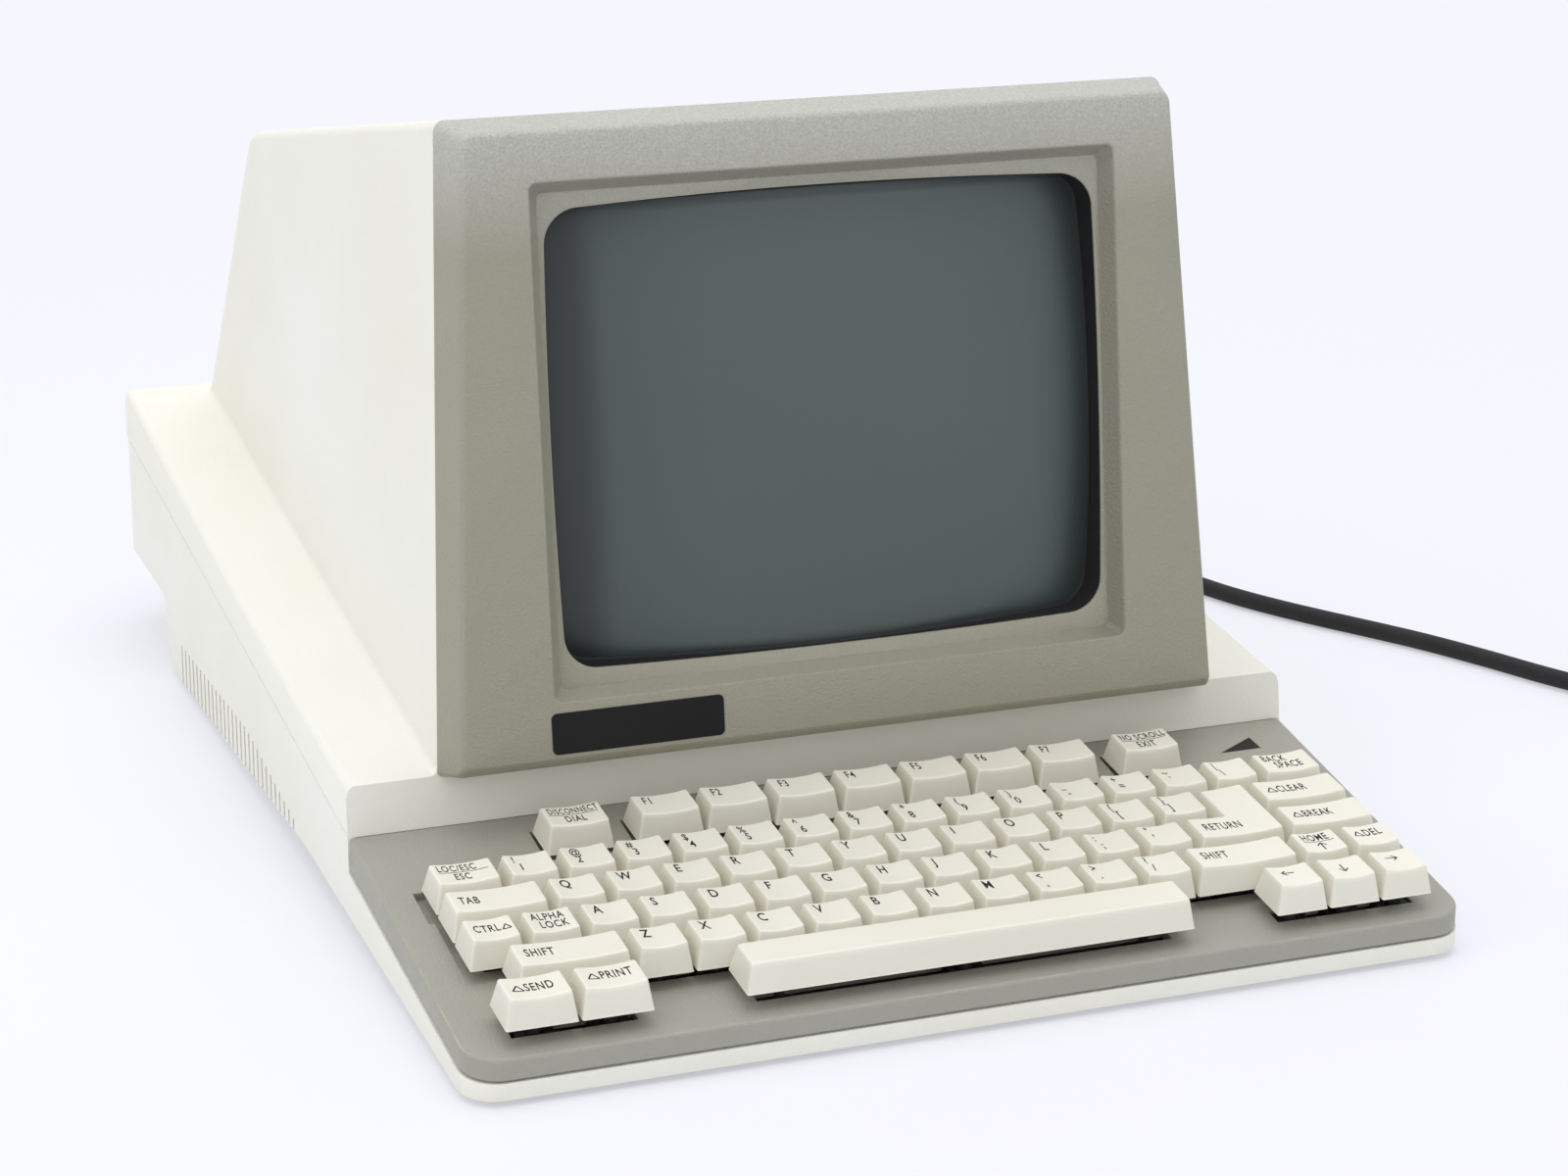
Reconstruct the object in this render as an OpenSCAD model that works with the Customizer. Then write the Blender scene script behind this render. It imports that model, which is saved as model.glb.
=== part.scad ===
// Desk computer terminal: picture tube head, wedge base and built-in keyboard.
// Lengths in millimetres. +Z up, +X to the user's right, +Y to the rear.
// The origin is on the table, under the middle of the casing.

/* [Casing] */
// Width across the seam
body_w = 339; // [330:1:350]
// Depth of the casing behind the keyboard lip
rear_d = 350; // [340:1:360]
// Depth of the keyboard in front of the lip
board_d = 138.6; // [136:0.2:146]
// Height of the seam at the lip
lip_z = 35.2; // [34:0.1:38]
// Rise of the seam toward the rear, degrees
seam_slope = 6.7; // [6:0.1:7.4]
// Fall of the keyboard panel toward the user, degrees
panel_slope = 8.05; // [7.6:0.05:8.4]
// Casing wall
wall = 2.8; // [2.4:0.1:3.2]
// Height of the rubber feet
foot_h = 2; // [1.6:0.1:3]
// Height of the rear overhang above the table
overhang_z = 30; // [27:0.5:32]
// Depth of the rear overhang
overhang_d = 65; // [60:1:70]
// Height of the arch under the base
arch_z = 9.6; // [8:0.2:11]
// Air slots along each lower side
side_slots = 28; // [20:1:30]

/* [Head] */
// Lean of the screen face, degrees
face_lean = 7.7; // [6.5:0.1:9]
// Width of the head at its foot
head_w = 277; // [272:1:280]
// Height of the head's front edge
head_z = 262.7; // [255:0.5:270]
// Draft of the head's sides, degrees
head_draft = 3; // [2:0.1:3.6]
// Narrowing of the head toward the rear, degrees
head_taper = 0.33; // [0:0.01:0.6]
// Fall of the head's top toward the rear, degrees
top_slope = 12; // [10:0.5:13]
// Depth of the head at its top rear edge
top_d = 279.6; // [272:0.5:284]
// Slant of the head's rear wall, degrees
rear_slant = 27.4; // [26:0.2:29]
// Rise of the side shelves toward the head, degrees
shelf_tilt = 16.5; // [14:0.5:18]
// Rise of the side shelves toward the rear, degrees
shelf_slope = 7.2; // [6.8:0.1:7.6]

/* [Screen] */
// Thickness of the screen bezel
bezel_t = 17; // [15:0.5:19]
// Width of the visible glass
screen_w = 193.6; // [186:0.2:196]
// Height of the visible glass
screen_h = 156.4; // [150:0.2:158]
// Width of the sunk frame around the glass
recess_w = 205; // [200:0.5:208]
// Height of the sunk frame around the glass
recess_h = 167.4; // [164:0.2:169]
// Radius of the glass face
glass_r = 520; // [420:5:700]
// Length of the picture tube
tube_l = 232; // [226:1:240]

/* [Keyboard] */
// Key pitch
key_pitch = 19.05; // [19.05:0.05:19.1]
// Fall of the key rows toward the user, degrees
key_slope = 5.5; // [5.2:0.1:6]
// Height of a key cap
cap_h = 9.8; // [9.2:0.1:10.6]
// Key travel
key_travel = 3.8; // [3:0.1:3.8]
// Gap between neighbouring caps
cap_gap = 1; // [0.8:0.1:1.4]
// Depth of the finger hollow in a cap
cap_dish = 0.9; // [0.5:0.1:1.2]
// Diameter of a key stem
stem_d = 5; // [4:0.1:5.4]
// Clearance around sliding stems
stem_fit = 0.4; // [0.3:0.05:0.6]

/* [Rear] */
// Width of the connector plate
plate_w = 230; // [220:1:240]
// Diameter of the thumbwheel
wheel_d = 22; // [20:0.5:23]
// Play of the thumbwheel on its pin
wheel_fit = 0.35; // [0.3:0.05:0.5]
// Tilt of the power rocker each way, degrees
rocker_tilt = 9; // [6:1:10]

/* [Cord] */
// Diameter of the mains cord
cord_d = 7; // [6.6:0.1:7.2]
// Turns in the stored coil
coil_turns = 5; // [5:1:5]
// Mean radius of the stored coil
coil_r = 39; // [38:0.5:42]
// Distance between neighbouring turns
coil_pitch = 7.6; // [7.6:0.1:8]
// Length of the strain relief
relief_l = 35; // [30:1:40]

/* [Hidden] */
$fn = 48;
eps = 0.05;
cream = [0.9, 0.88, 0.8];
taupe = [0.62, 0.6, 0.55];
dark = [0.12, 0.12, 0.13];
steel = [0.72, 0.73, 0.74];
board_green = [0.1, 0.35, 0.2];
y_mid = (rear_d - board_d) / 2;
y_front = -board_d;
hw = body_w / 2;
inner_hw = hw - wall;

// Heights of the seam, the panel top and the skirt line at a depth y
function seam_z(y) = lip_z + tan(seam_slope) * y;
function panel_z(y) = lip_z + tan(panel_slope) * y;
skirt_front_z = 7.8;
skirt_lip_z = 22.9;
function skirt_z(y) = skirt_lip_z + (skirt_lip_z - skirt_front_z) / board_d * y;
front_bottom_z = foot_h + 0.2;
arch_y = 62;
function front_under(y) = front_bottom_z + (arch_z - front_bottom_z) * (y - y_front) / (arch_y - y_front);
step_y = rear_d - overhang_d;
sole_y = step_y - 33;
function rear_under(y) = arch_z + (foot_h - arch_z) * (y - arch_y) / (sole_y - arch_y);

// Screen face: foot of the bezel, its height along the face, centre of the glass
face_z = 53.3;
face_y = (face_z - lip_z) * tan(face_lean);
face_h = (head_z - face_z) / cos(face_lean);
glass_s = 106.1;
facet_z = 52.2;
shelf_edge_y = 55.8;
shelf_edge_z = 51.9;
edge_r = 6;
// Half width of the bezel at its foot and its top
foot_hw = head_w / 2;
top_hw = foot_hw - (head_z - face_z) * tan(head_draft);

// Key block: left edge, plate origin and heights above the plate
panel_side = 12.3375;
block_w = body_w - 2 * panel_side;
col_pitch = block_w / 16.5;
key_x0 = -block_w / 2 + 0.6;
cap_lift = 10.2;
cap_top = cap_lift + cap_h;
key_y = -54.9;
key_z = 19.6;
cap_side = 1.7;
cap_front = 2.2;
cap_back = 2.5;
row_front = 2.7;
plate_t = 1.5;
housing_w = 12.6;
housing_top = cap_lift - key_travel - 0.4;
housing_low = -3.4;
housing_floor = 0.6;
stem_low = housing_low + housing_floor + key_travel + 0.4;
board_t = 1.6;
f_row = -0.5;
function row_v(row) = -row_front - key_pitch * (row - 1);

// Keys as [left edge, width] in key pitches, row by row
row_f = concat([[2.37, 1.25]], [for (i = [0:6]) [4 + 1.25 * i, 1.25]], [[13.15, 1.25]]);
row_1 = concat([[0, 1.25]], [for (i = [0:13]) [1.25 + i, 1]], [[15.25, 1.25]]);
row_2 = concat([[0, 1.75]], [for (i = [0:11]) [1.75 + i, 1]], [[13.75, 1], [14.75, 1.75]]);
row_3 = concat([for (i = [0:12]) [i, 1]], [[13, 1.75], [14.75, 1.75]]);
row_4 = concat([[0.5, 2]], [for (i = [0:9]) [2.5 + i, 1]], [[12.5, 2], [14.5, 1], [15.5, 1]]);
row_5 = [[0, 1.25], [1.25, 1.25], [4, 8], [13.5, 1], [14.5, 1], [15.5, 1]];
key_rows = [[f_row, row_f], [1, row_1], [2, row_2], [3, row_3], [4, row_4], [5, row_5]];
space_span = 4 * col_pitch - 14.2;

// Mains cord: route of the free stretch, coil place and heading
cord_r = cord_d / 2;
relief_x = 120;
relief_z = 50;
relief_y = rear_d - y_mid;
coil_at = [402, -55];
heading = -63;
coil_z = cord_r + 0.9;
half_turns = coil_turns / 2;
coil_out = coil_r + coil_pitch * half_turns / 2;
coil_in = coil_r - coil_pitch * half_turns / 2;
entry_a = heading - 90;
cord_dir = [cos(heading), sin(heading), 0];
coil_entry = [coil_at[0] + coil_out * cos(entry_a), coil_at[1] + coil_out * sin(entry_a), coil_z];
coil_exit = coil_entry + [0, 0, coil_pitch];
cord_end = coil_entry - cord_d * cord_dir;
coil_tail = 36;
route = concat([
    [relief_x, relief_y + relief_l, relief_z],
    [120, 288, 49.8], [120.5, 300, 48], [125, 316, 43], [135, 329, 36],
    [150, 336, 28], [166, 335, 20], [180, 327, 13], [190, 314, 8],
    [198, 298, 5], [205, 280, 4], [213, 258, 3.8], [221, 234, 3.7],
    [229, 208, 3.7], [236, 182, 3.7], [243, 156, 3.7], [250, 132, 3.7],
    [258, 110, 3.7], [268, 90, 3.7], [280, 70, 3.7], [293, 50, 3.7],
    [306, 29, 3.7], [319, 4, 3.7], [331, -22, 3.8], [343, -46, 4.2],
], [cord_end]);

// Points of the coil: in along the lower layer, half a turn of climb, out along the upper one
ring_n = 24;
mid_turn = coil_turns * 180;
function smooth(u) = u <= 0 ? 0 : u >= 1 ? 1 : u * u * (3 - 2 * u);
function coil_point(a) =
    let (r = coil_in + coil_pitch * abs(a - mid_turn) / 360, climb = smooth((a - mid_turn + 90) / 180))
    [coil_at[0] + r * cos(entry_a + a), coil_at[1] + r * sin(entry_a + a), coil_z + coil_pitch * climb];
coil_steps = coil_turns * ring_n;
coil_path = concat([cord_end], [for (i = [0:coil_steps]) coil_point(i * 360 / ring_n)],
    [coil_exit + coil_tail * cord_dir]);
coil_gap = min([for (i = [0:coil_steps], j = [i + ring_n / 2:coil_steps])
    norm(coil_path[i + 1] - coil_path[j + 1])]) - cord_d;
function path_length(p) = let (d = [for (i = [1:len(p) - 1]) norm(p[i] - p[i - 1])])
    d * [for (v = d) 1];
echo(coil_self_gap = coil_gap, cord_length = path_length(route) + path_length(coil_path));

// Moves lip coordinates, with y = 0 at the foot of the lip, to the model's origin
module from_lip() {
    translate([0, -y_mid, 0]) children();
}

// Extrudes a (y, z) outline along X
module slab(w) {
    rotate([90, 0, 90]) linear_extrude(height = w, center = true) children();
}

// Extrudes an (x, z) outline toward the rear from y = 0
module run(d) {
    translate([0, d, 0]) rotate([90, 0, 0]) linear_extrude(height = d) children();
}

// Rectangle with rounded corners, in plan: rf at the front, rr at the rear
module plan(half, y0, y1, rf, rr) {
    translate([-half, y0 + rf]) square([2 * half, y1 - y0 - rf - rr]);
    translate([-half + rf, y0]) square([2 * (half - rf), rf + 1]);
    translate([-half + rr, y1 - rr - 1]) square([2 * (half - rr), rr + 1]);
    for (s = [-1, 1]) {
        translate([s * (half - rf), y0 + rf]) circle(r = rf);
        translate([s * (half - rr), y1 - rr]) circle(r = rr);
    }
}

// Local frame of the screen face: x across, y up the face, z out of it
module face_frame() {
    from_lip() translate([0, face_y, face_z]) rotate([90 - face_lean, 0, 0]) children();
}

// Local frame of the key plate: x across, y up the slope, z away from the plate
module key_frame() {
    from_lip() translate([0, key_y, key_z]) rotate([key_slope, 0, 0]) children();
}

// Rounded-off rectangle that bulges along its sides
module glass_outline(w, h) {
    power = 2 / 9;
    polygon([for (i = [0:71]) let (c = cos(i * 5), s = sin(i * 5))
        [w / 2 * sign(c) * pow(abs(c), power), h / 2 * sign(s) * pow(abs(s), power)]]);
}

// Roof outline (x, z): round shoulders at the sides, then a rise of tilt degrees to the ridge
module roof_outline(half, r, tilt, ridge) {
    cx = half - r;
    arc = [for (i = [0:6]) let (a = (90 - tilt) * i / 6) [cx + r * cos(a), r * sin(a)]];
    last = arc[6];
    up = last[1] + (last[0] - ridge) * tan(tilt);
    right = concat([[half, -90]], arc, [[ridge, up]]);
    polygon(concat(right, [for (i = [len(right) - 1:-1:0]) [-right[i][0], right[i][1]]]));
}

// Casing above the seam, drawn in by d
module case_form(d) {
    low = d > 0 ? 6 : 0;
    lift_y = d / cos(face_lean) + eps;
    shelf_out = 3.5 - edge_r + edge_r * sin(shelf_tilt);
    shelf_drop = edge_r * cos(shelf_tilt) + shelf_out * tan(shelf_tilt);
    intersection() {
        slab(body_w + 2) polygon([
            [lift_y - low * tan(face_lean), lip_z - low],
            [lift_y + (150 - lip_z) * tan(face_lean), 150],
            [rear_d - d, 150],
            [rear_d - d, seam_z(rear_d) - low],
        ]);
        translate([0, 0, -10]) linear_extrude(height = 200) plan(hw - d, -30, rear_d - d, 2, 8);
        union() {
            translate([0, shelf_edge_y, shelf_edge_z - shelf_drop - d]) rotate([shelf_slope, 0, 0])
                translate([0, -90, 0]) run(420) roof_outline(hw - 0.6 - d, edge_r, shelf_tilt, 132);
            translate([0, -5, facet_z - edge_r - d]) run(110) roof_outline(hw - 0.6 - d, edge_r, 0, 132);
        }
    }
    head_form(d);
}

// Head, drawn in by d
module head_form(d) {
    y_low = 45;
    front_top = [face_y + face_h * sin(face_lean), head_z];
    rear_top = [top_d, head_z - (top_d - front_top[0]) * tan(top_slope)];
    rear_low = [top_d + (rear_top[1] - 97.2) * tan(rear_slant), 97.2];
    top_in = d / cos(top_slope);
    rear_in = d / cos(rear_slant);
    front_in = d / cos(face_lean);
    difference() {
        slab(320) polygon([
            [(y_low - lip_z) * tan(face_lean) + front_in, y_low],
            [front_top[0] + front_in, front_top[1] - top_in],
            [rear_top[0] - rear_in, rear_top[1] - top_in],
            [rear_low[0] - rear_in, rear_low[1]],
            [rear_low[0] - rear_in - 4, 84],
        ]);
        for (s = [0, 1]) mirror([s, 0, 0])
            translate([foot_hw - d, face_y, face_z]) rotate([0, 0, head_taper]) rotate([0, -head_draft, 0])
                translate([0, -200, -200]) cube([200, 800, 800]);
    }
}

// Screw places: x, y of the four case screws
case_posts = [for (sx = [-1, 1], y = [70, rear_d - 24]) [sx * (hw - 17.5), y]];
function under_z(y) = y > step_y ? overhang_z : rear_under(y);

module base_pan() {
    color(cream) from_lip() difference() {
        union() {
            difference() {
                base_form(0);
                base_form(wall);
            }
            intersection() {
                base_form(0);
                union() {
                    for (p = case_posts) translate([p[0], p[1], 0])
                        cylinder(d = 10, h = seam_z(p[1]) - 5 * tan(seam_slope));
                    for (sx = [-1, 1], y = [40, 150, 222]) translate([sx * (logic_w / 2 - 15), y, 0])
                        cylinder(d = 8, h = logic_z);
                    for (y = [video_y0 + 6, video_y1 - 6]) translate([video_x - 4, y - 4, 0])
                        cube([8, 8, guide_z]);
                    translate([wheel_x, wheel_y, 0]) cylinder(d = 8, h = wheel_z - wheel_fit);
                    translate([wheel_x, wheel_y, 0]) cylinder(d = wheel_pin, h = wheel_z + wheel_t);
                }
            }
            for (p = foot_places) translate([p[0], p[1], foot_h]) cylinder(d = 20, h = 4);
            intersection() {
                base_form(0.5);
                translate([0, y_mid, 0]) key_frame() for (p = plate_posts)
                    translate([p[0], p[1], -plate_t - 40]) cylinder(d = 8, h = 40);
            }
        }
        for (p = case_posts) translate([p[0], p[1], -1]) cylinder(d = 3.6, h = 100);
        for (p = case_posts) translate([p[0], p[1], under_z(p[1]) - 3]) cylinder(d = 8, h = 5);
        for (sx = [-1, 1]) translate([sx * hw, 0, 0]) side_slot_row();
        translate([-plate_w / 2 + 5, rear_d - wall - 1, overhang_z + 8])
            cube([plate_w - 10, wall + 2, plate_h - 10]);
        translate([relief_x, rear_d - wall - 1, relief_z]) rotate([-90, 0, 0])
            cylinder(d = cord_d + 5.6, h = wall + 2);
        translate([hw - wall - 1, wheel_y - wheel_d / 2, wheel_z - 1])
            cube([wall + 2, wheel_d, wheel_t + 2]);
        translate([video_x - 1, video_y0 - 0.2, video_z0]) cube([2, video_y1 - video_y0 + 0.4, 60]);
    }
}

// Base between the underside and the seam, drawn in by d and open at the top
module base_form(d) {
    high = d > 0 ? 60 : 0;
    bottom = [
        [y_front + d, front_bottom_z + d],
        [arch_y, arch_z + d],
        [sole_y, foot_h + d],
        [step_y - 21 - d * 0.2, foot_h + d],
        [step_y - 7 - d, foot_h + 3.5 + d],
        [step_y - d, overhang_z - 1.5 + d],
        [rear_d - d, overhang_z + d],
    ];
    top = [
        [rear_d - d, seam_z(rear_d) + high],
        [0 - d, seam_z(0) + high],
        [0 - d, skirt_lip_z + high],
        [y_front + d, skirt_front_z + high],
    ];
    intersection() {
        slab(body_w - 2 * d) polygon(concat(bottom, top));
        translate([0, 0, -1]) linear_extrude(height = 200)
            plan(hw - d, y_front + d, rear_d - d, 12 - d, 8 - d);
    }
}

// Air slots of one side, shorter toward the arch
module side_slot_row() {
    slot_pitch = 6.6;
    for (i = [0:side_slots - 1]) {
        y = sole_y + 3 - slot_pitch * i;
        tall = min(15.5, 2 + (y - arch_y) * 0.16);
        translate([-wall - 1, y - 1, rear_under(min(y, sole_y)) - 1]) cube([2 * wall + 2, 2, tall + 1]);
    }
}

logic_z = 18;
logic_w = 280;
logic_d = 200;
video_x = 118;
video_y0 = 130;
video_y1 = 268;
video_z0 = 30;
guide_z = 48;
plate_h = 38;
wheel_t = 4.5;
wheel_pin = 3;
wheel_out = 0.8;
wheel_z = 11;
wheel_y = -15;
wheel_x = hw + wheel_out - wheel_d / 2;
foot_places = [for (sx = [-1, 1], y = [y_front + 26.6, step_y - 40]) [sx * (hw - 29.5), y]];
plate_posts = [for (sx = [-1, 1], v = [-66, 8]) [sx * (hw - 10.5), v]];

module top_case() {
    vent_n = 14;
    color(cream) difference() {
        union() {
            from_lip() difference() {
                case_form(0);
                case_form(wall);
            }
            from_lip() intersection() {
                case_form(0);
                union() {
                    for (p = case_posts) translate([p[0], p[1], seam_z(p[1]) + 5 * tan(seam_slope)])
                        cylinder(d = 10, h = 60);
                }
            }
        }
        face_frame() translate([-120, 7, -12]) cube([240, 196, 30]);
        from_lip() for (p = case_posts) translate([p[0], p[1], seam_z(p[1]) - 2]) cylinder(d = 3.1, h = 12);
        from_lip() for (i = [0:vent_n - 1]) translate([-70, 150 + i * 8, 180]) cube([140, 3, 100]);
    }
}

module screen_bezel() {
    side_in = 15;
    edge_in = 12.5;
    side_slope = atan(tan(head_draft) * cos(face_lean));
    color(taupe) face_frame() {
        difference() {
            linear_extrude(height = bezel_t)
                polygon([[-foot_hw - 1, -1], [foot_hw + 1, -1],
                    [top_hw + 1, face_h + 1], [-top_hw - 1, face_h + 1]]);
            // sides, top and bottom drawn in toward the front
            for (s = [0, 1]) mirror([s, 0, 0]) translate([foot_hw, 0, 0]) rotate([0, 0, side_slope])
                rotate([0, -side_in, 0]) translate([0, -100, -30]) cube([60, 500, 120]);
            translate([0, face_h, 0]) rotate([edge_in, 0, 0])
                translate([-200, 0, -30]) cube([400, 60, 120]);
            mirror([0, 1, 0]) rotate([edge_in, 0, 0]) translate([-200, 0, -30]) cube([400, 60, 120]);
            recess_form();
            translate([0, glass_s, -20]) linear_extrude(height = 60) glass_outline(screen_w, screen_h);
            translate([badge_x, badge_s, bezel_t - 0.6]) cube([badge_w, badge_h, 5]);
            // seat behind the ledge for the domed glass
            translate([0, glass_s, 0]) intersection() {
                translate([0, 0, -1]) linear_extrude(height = mask_t + 1)
                    glass_outline(tube_w + 2 * glass_fit, tube_h + 2 * glass_fit);
                translate([0, 0, mask_t - glass_drop - glass_r]) sphere(r = glass_r + glass_fit, $fn = 180);
            }
        }
        for (p = tube_posts) translate([p[0], p[1], -post_l]) difference() {
            cylinder(d = 10, h = post_l + 1);
            translate([0, 0, -1]) cylinder(d = 3.1, h = 12);
        }
    }
}

badge_w = 59.5;
badge_h = 14;
badge_x = -104;
badge_s = 4.8;
post_l = 16;
tube_w = 208;
tube_h = 171;
tube_rim = 30;
tube_flare = 150;
flare_r = 135;
neck_r = 10.2;
band_t = 3;
band_w = 12;
tube_posts = [for (sx = [-1, 1], sy = [-1, 1]) [sx * (tube_w / 2 + 8), glass_s + sy * (tube_h / 2 + 4.5)]];
mask_t = 11;
glass_drop = 0.7;
glass_fit = 0.5;

// Sunk frame that narrows toward the glass
module recess_form() {
    in_w = recess_w / 2 - 4;
    in_h = recess_h / 2 - 3.4;
    s0 = 23.6 + recess_h / 2;
    far = bezel_t + 3;
    grow_w = 4 * (far - mask_t) / (bezel_t - mask_t);
    grow_h = 3.4 * (far - mask_t) / (bezel_t - mask_t);
    translate([0, s0, 0]) intersection() {
        translate([0, -110, 0]) run(220) polygon([[-in_w, mask_t], [in_w, mask_t],
            [in_w + grow_w, far], [-in_w - grow_w, far]]);
        slab(260) polygon([[-in_h, mask_t], [in_h, mask_t], [in_h + grow_h, far], [-in_h - grow_h, far]]);
    }
}

module badge_plate() {
    color(dark) face_frame() translate([badge_x + 0.1, badge_s + 0.1, bezel_t - 0.6])
        cube([badge_w - 0.2, badge_h - 0.2, 1]);
}

module keyboard_panel() {
    t = 2.5;
    color(taupe) difference() {
        from_lip() difference() {
            panel_form(0);
            panel_form(t);
        }
        key_frame() key_wells();
    }
}

// Keyboard panel between its top and the skirt line, drawn in by d
module panel_form(d) {
    low = d > 0 ? 5 : 0;
    r = 3.5;
    back = d > 0 ? 5 : -0.3;
    nose = [for (i = [0:5]) let (a = 18 * i)
        [y_front + d + r - r * cos(a), panel_z(y_front) - d - r + r * sin(a)]];
    intersection() {
        slab(body_w) polygon(concat([[back, skirt_z(back) - low], [y_front + d, skirt_front_z - low]], nose,
            [[back, panel_z(back) - d]]));
        translate([0, 0, -1]) linear_extrude(height = 100) plan(hw - 1 - d, y_front + d, 20, 12 - d, 0.5);
        translate([0, 0, lip_z - r - d]) rotate([panel_slope, 0, 0]) translate([0, -200, 0])
            run(240) roof_outline(hw - 1 - d, r, 0, 100);
    }
}

// Openings around the key rows
module key_wells() {
    for (r = key_rows, k = r[1]) {
        deep = key_pitch + 0.02;
        translate([key_x0 + k[0] * col_pitch - 0.4, row_v(r[0]) - 0.4, -20])
            cube([k[1] * col_pitch + 0.8, deep + 0.8, 60]);
    }
}

module feet() {
    color(dark) from_lip() for (p = foot_places) translate([p[0], p[1], 0]) cylinder(d = 16, h = foot_h);
}

module case_screws() {
    color(steel) from_lip() for (p = case_posts) translate([p[0], p[1], under_z(p[1])]) {
        translate([0, 0, -0.4]) cylinder(d = 6, h = 2.4);
        cylinder(d = 3, h = seam_z(p[1]) + 6 - under_z(p[1]));
    }
}

// Glass bulb in the screen face frame, drawn in by d
module bulb(d) {
    face_t = mask_t - glass_drop;
    translate([0, glass_s, 0]) {
        intersection() {
            translate([0, 0, -tube_rim]) linear_extrude(height = tube_rim + 10)
                glass_outline(tube_w - 2 * d, tube_h - 2 * d);
            translate([0, 0, face_t - glass_r - d]) sphere(r = glass_r, $fn = 180);
        }
        intersection() {
            translate([0, 0, -tube_flare]) linear_extrude(height = tube_flare - tube_rim + eps)
                glass_outline(tube_w - 2 * d, tube_h - 2 * d);
            translate([0, 0, -tube_flare])
                cylinder(r1 = neck_r - d, r2 = flare_r - d, h = tube_flare - tube_rim + eps);
        }
        translate([0, 0, -tube_l]) cylinder(r = neck_r - d, h = tube_l - tube_flare + eps);
    }
}

module picture_tube() {
    color([0.25, 0.3, 0.29]) face_frame() difference() {
        bulb(0);
        bulb(6);
    }
}

module tube_band() {
    color(steel) face_frame() difference() {
        union() {
            translate([0, glass_s, -post_l - band_w]) linear_extrude(height = band_w)
                glass_outline(tube_w + 2 * band_t, tube_h + 2 * band_t);
            for (p = tube_posts) translate([p[0], p[1], -post_l - 3]) {
                cylinder(d = 13, h = 3);
                translate([p[0] > 0 ? -14 : 0, p[1] > glass_s ? -14 : 0, 0]) cube([14, 14, 3]);
            }
        }
        translate([0, glass_s, -post_l - 20]) linear_extrude(height = 30)
            glass_outline(tube_w + 0.6, tube_h + 0.6);
        for (p = tube_posts) translate([p[0], p[1], -post_l - 10]) cylinder(d = 4, h = 20);
    }
}

module tube_screws() {
    color(steel) face_frame() for (p = tube_posts) translate([p[0], p[1], -post_l - 3]) {
        translate([0, 0, -2.5]) cylinder(d = 8, h = 2.5);
        cylinder(d = 3, h = 12);
    }
}

module deflection_yoke() {
    fit = 0.5;
    color([0.5, 0.3, 0.15]) face_frame() translate([0, glass_s, 0]) rotate_extrude() polygon([
        [neck_r + fit, -tube_flare - 22], [neck_r + fit, -tube_flare],
        [neck_r + fit + 30 * 1.04, -tube_flare + 30], [54, -tube_flare + 30], [54, -tube_flare + 24],
        [38, -tube_flare + 14], [38, -tube_flare - 10], [24, -tube_flare - 14], [24, -tube_flare - 22],
    ]);
}

module neck_board() {
    color(board_green) face_frame() translate([0, glass_s, -tube_l + 6]) difference() {
        union() {
            translate([-30, -32, 0]) cube([60, 64, board_t]);
            cylinder(d = 30, h = 10);
        }
        translate([0, 0, -5]) cylinder(r = neck_r + 0.4, h = 20);
    }
}

module video_board() {
    color(board_green) from_lip() translate([video_x - board_t / 2, video_y0, video_z0])
        cube([board_t, video_y1 - video_y0, 96]);
}

module flyback_transformer() {
    color(dark) from_lip() translate([video_x - board_t / 2, 240, 84]) rotate([0, -90, 0]) {
        translate([-18, -16, 0]) cube([36, 32, 14]);
        translate([0, 0, 14]) cylinder(d = 30, h = 24);
    }
}

module logic_board() {
    color(board_green) from_lip() difference() {
        translate([-logic_w / 2, 30, logic_z]) cube([logic_w, logic_d, board_t]);
        translate([video_x - 6, video_y0 - 2, 0]) cube([40, 140, 60]);
    }
}

module logic_chips() {
    color(dark) from_lip() {
        for (i = [0:6], j = [0:3]) translate([-120 + i * 30, 50 + j * 30, logic_z + board_t])
            cube([22, 8, 4]);
        for (i = [0:1]) translate([-120 + i * 70, 180, logic_z + board_t]) cube([52, 15, 5]);
    }
}

module power_transformer() {
    color([0.35, 0.35, 0.38]) from_lip() translate([-hw + 49.5, rear_d - 64, overhang_z + wall]) {
        cube([66, 48, 38]);
        translate([12, 4, 38]) cube([42, 40, 8]);
    }
}

port_x = [-88, -24];
jack_x = [30, 50];
fuse_x = 100;
rocker_x = 76;
rear_z = overhang_z + 3;
rear_mid = overhang_z + 22;
rear_in = rear_d - wall;
rocker_w = 12;
rocker_h = 22;

module connector_plate() {
    t = 2;
    color(steel) from_lip() difference() {
        union() {
            translate([-plate_w / 2, rear_in - t, rear_z]) cube([plate_w, t, plate_h]);
            translate([rocker_x - 9, rear_in - 16, rear_mid - 14]) cube([18, 16, 28]);
        }
        for (x = port_x) translate([x - 20.2, rear_in - 10, rear_mid - 5.2]) cube([40.4, 30, 10.4]);
        for (x = jack_x) translate([x - 6.7, rear_in - 10, rear_mid - 6.2]) cube([13.4, 30, 12.4]);
        translate([fuse_x, rear_in - 20, rear_mid - 2]) rotate([-90, 0, 0]) cylinder(d = 12.6, h = 40);
        translate([relief_x, rear_in - 20, relief_z]) rotate([-90, 0, 0])
            cylinder(d = cord_d + 5.6, h = 40);
        translate([rocker_x - rocker_w / 2 - 0.4, rear_in - 13, rear_mid - rocker_h / 2 - 1])
            cube([rocker_w + 0.8, 20, rocker_h + 2]);
        translate([rocker_x - 12, rear_in - 3, rear_mid]) rotate([0, 90, 0]) cylinder(d = 3.7, h = 24);
    }
}

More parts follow.
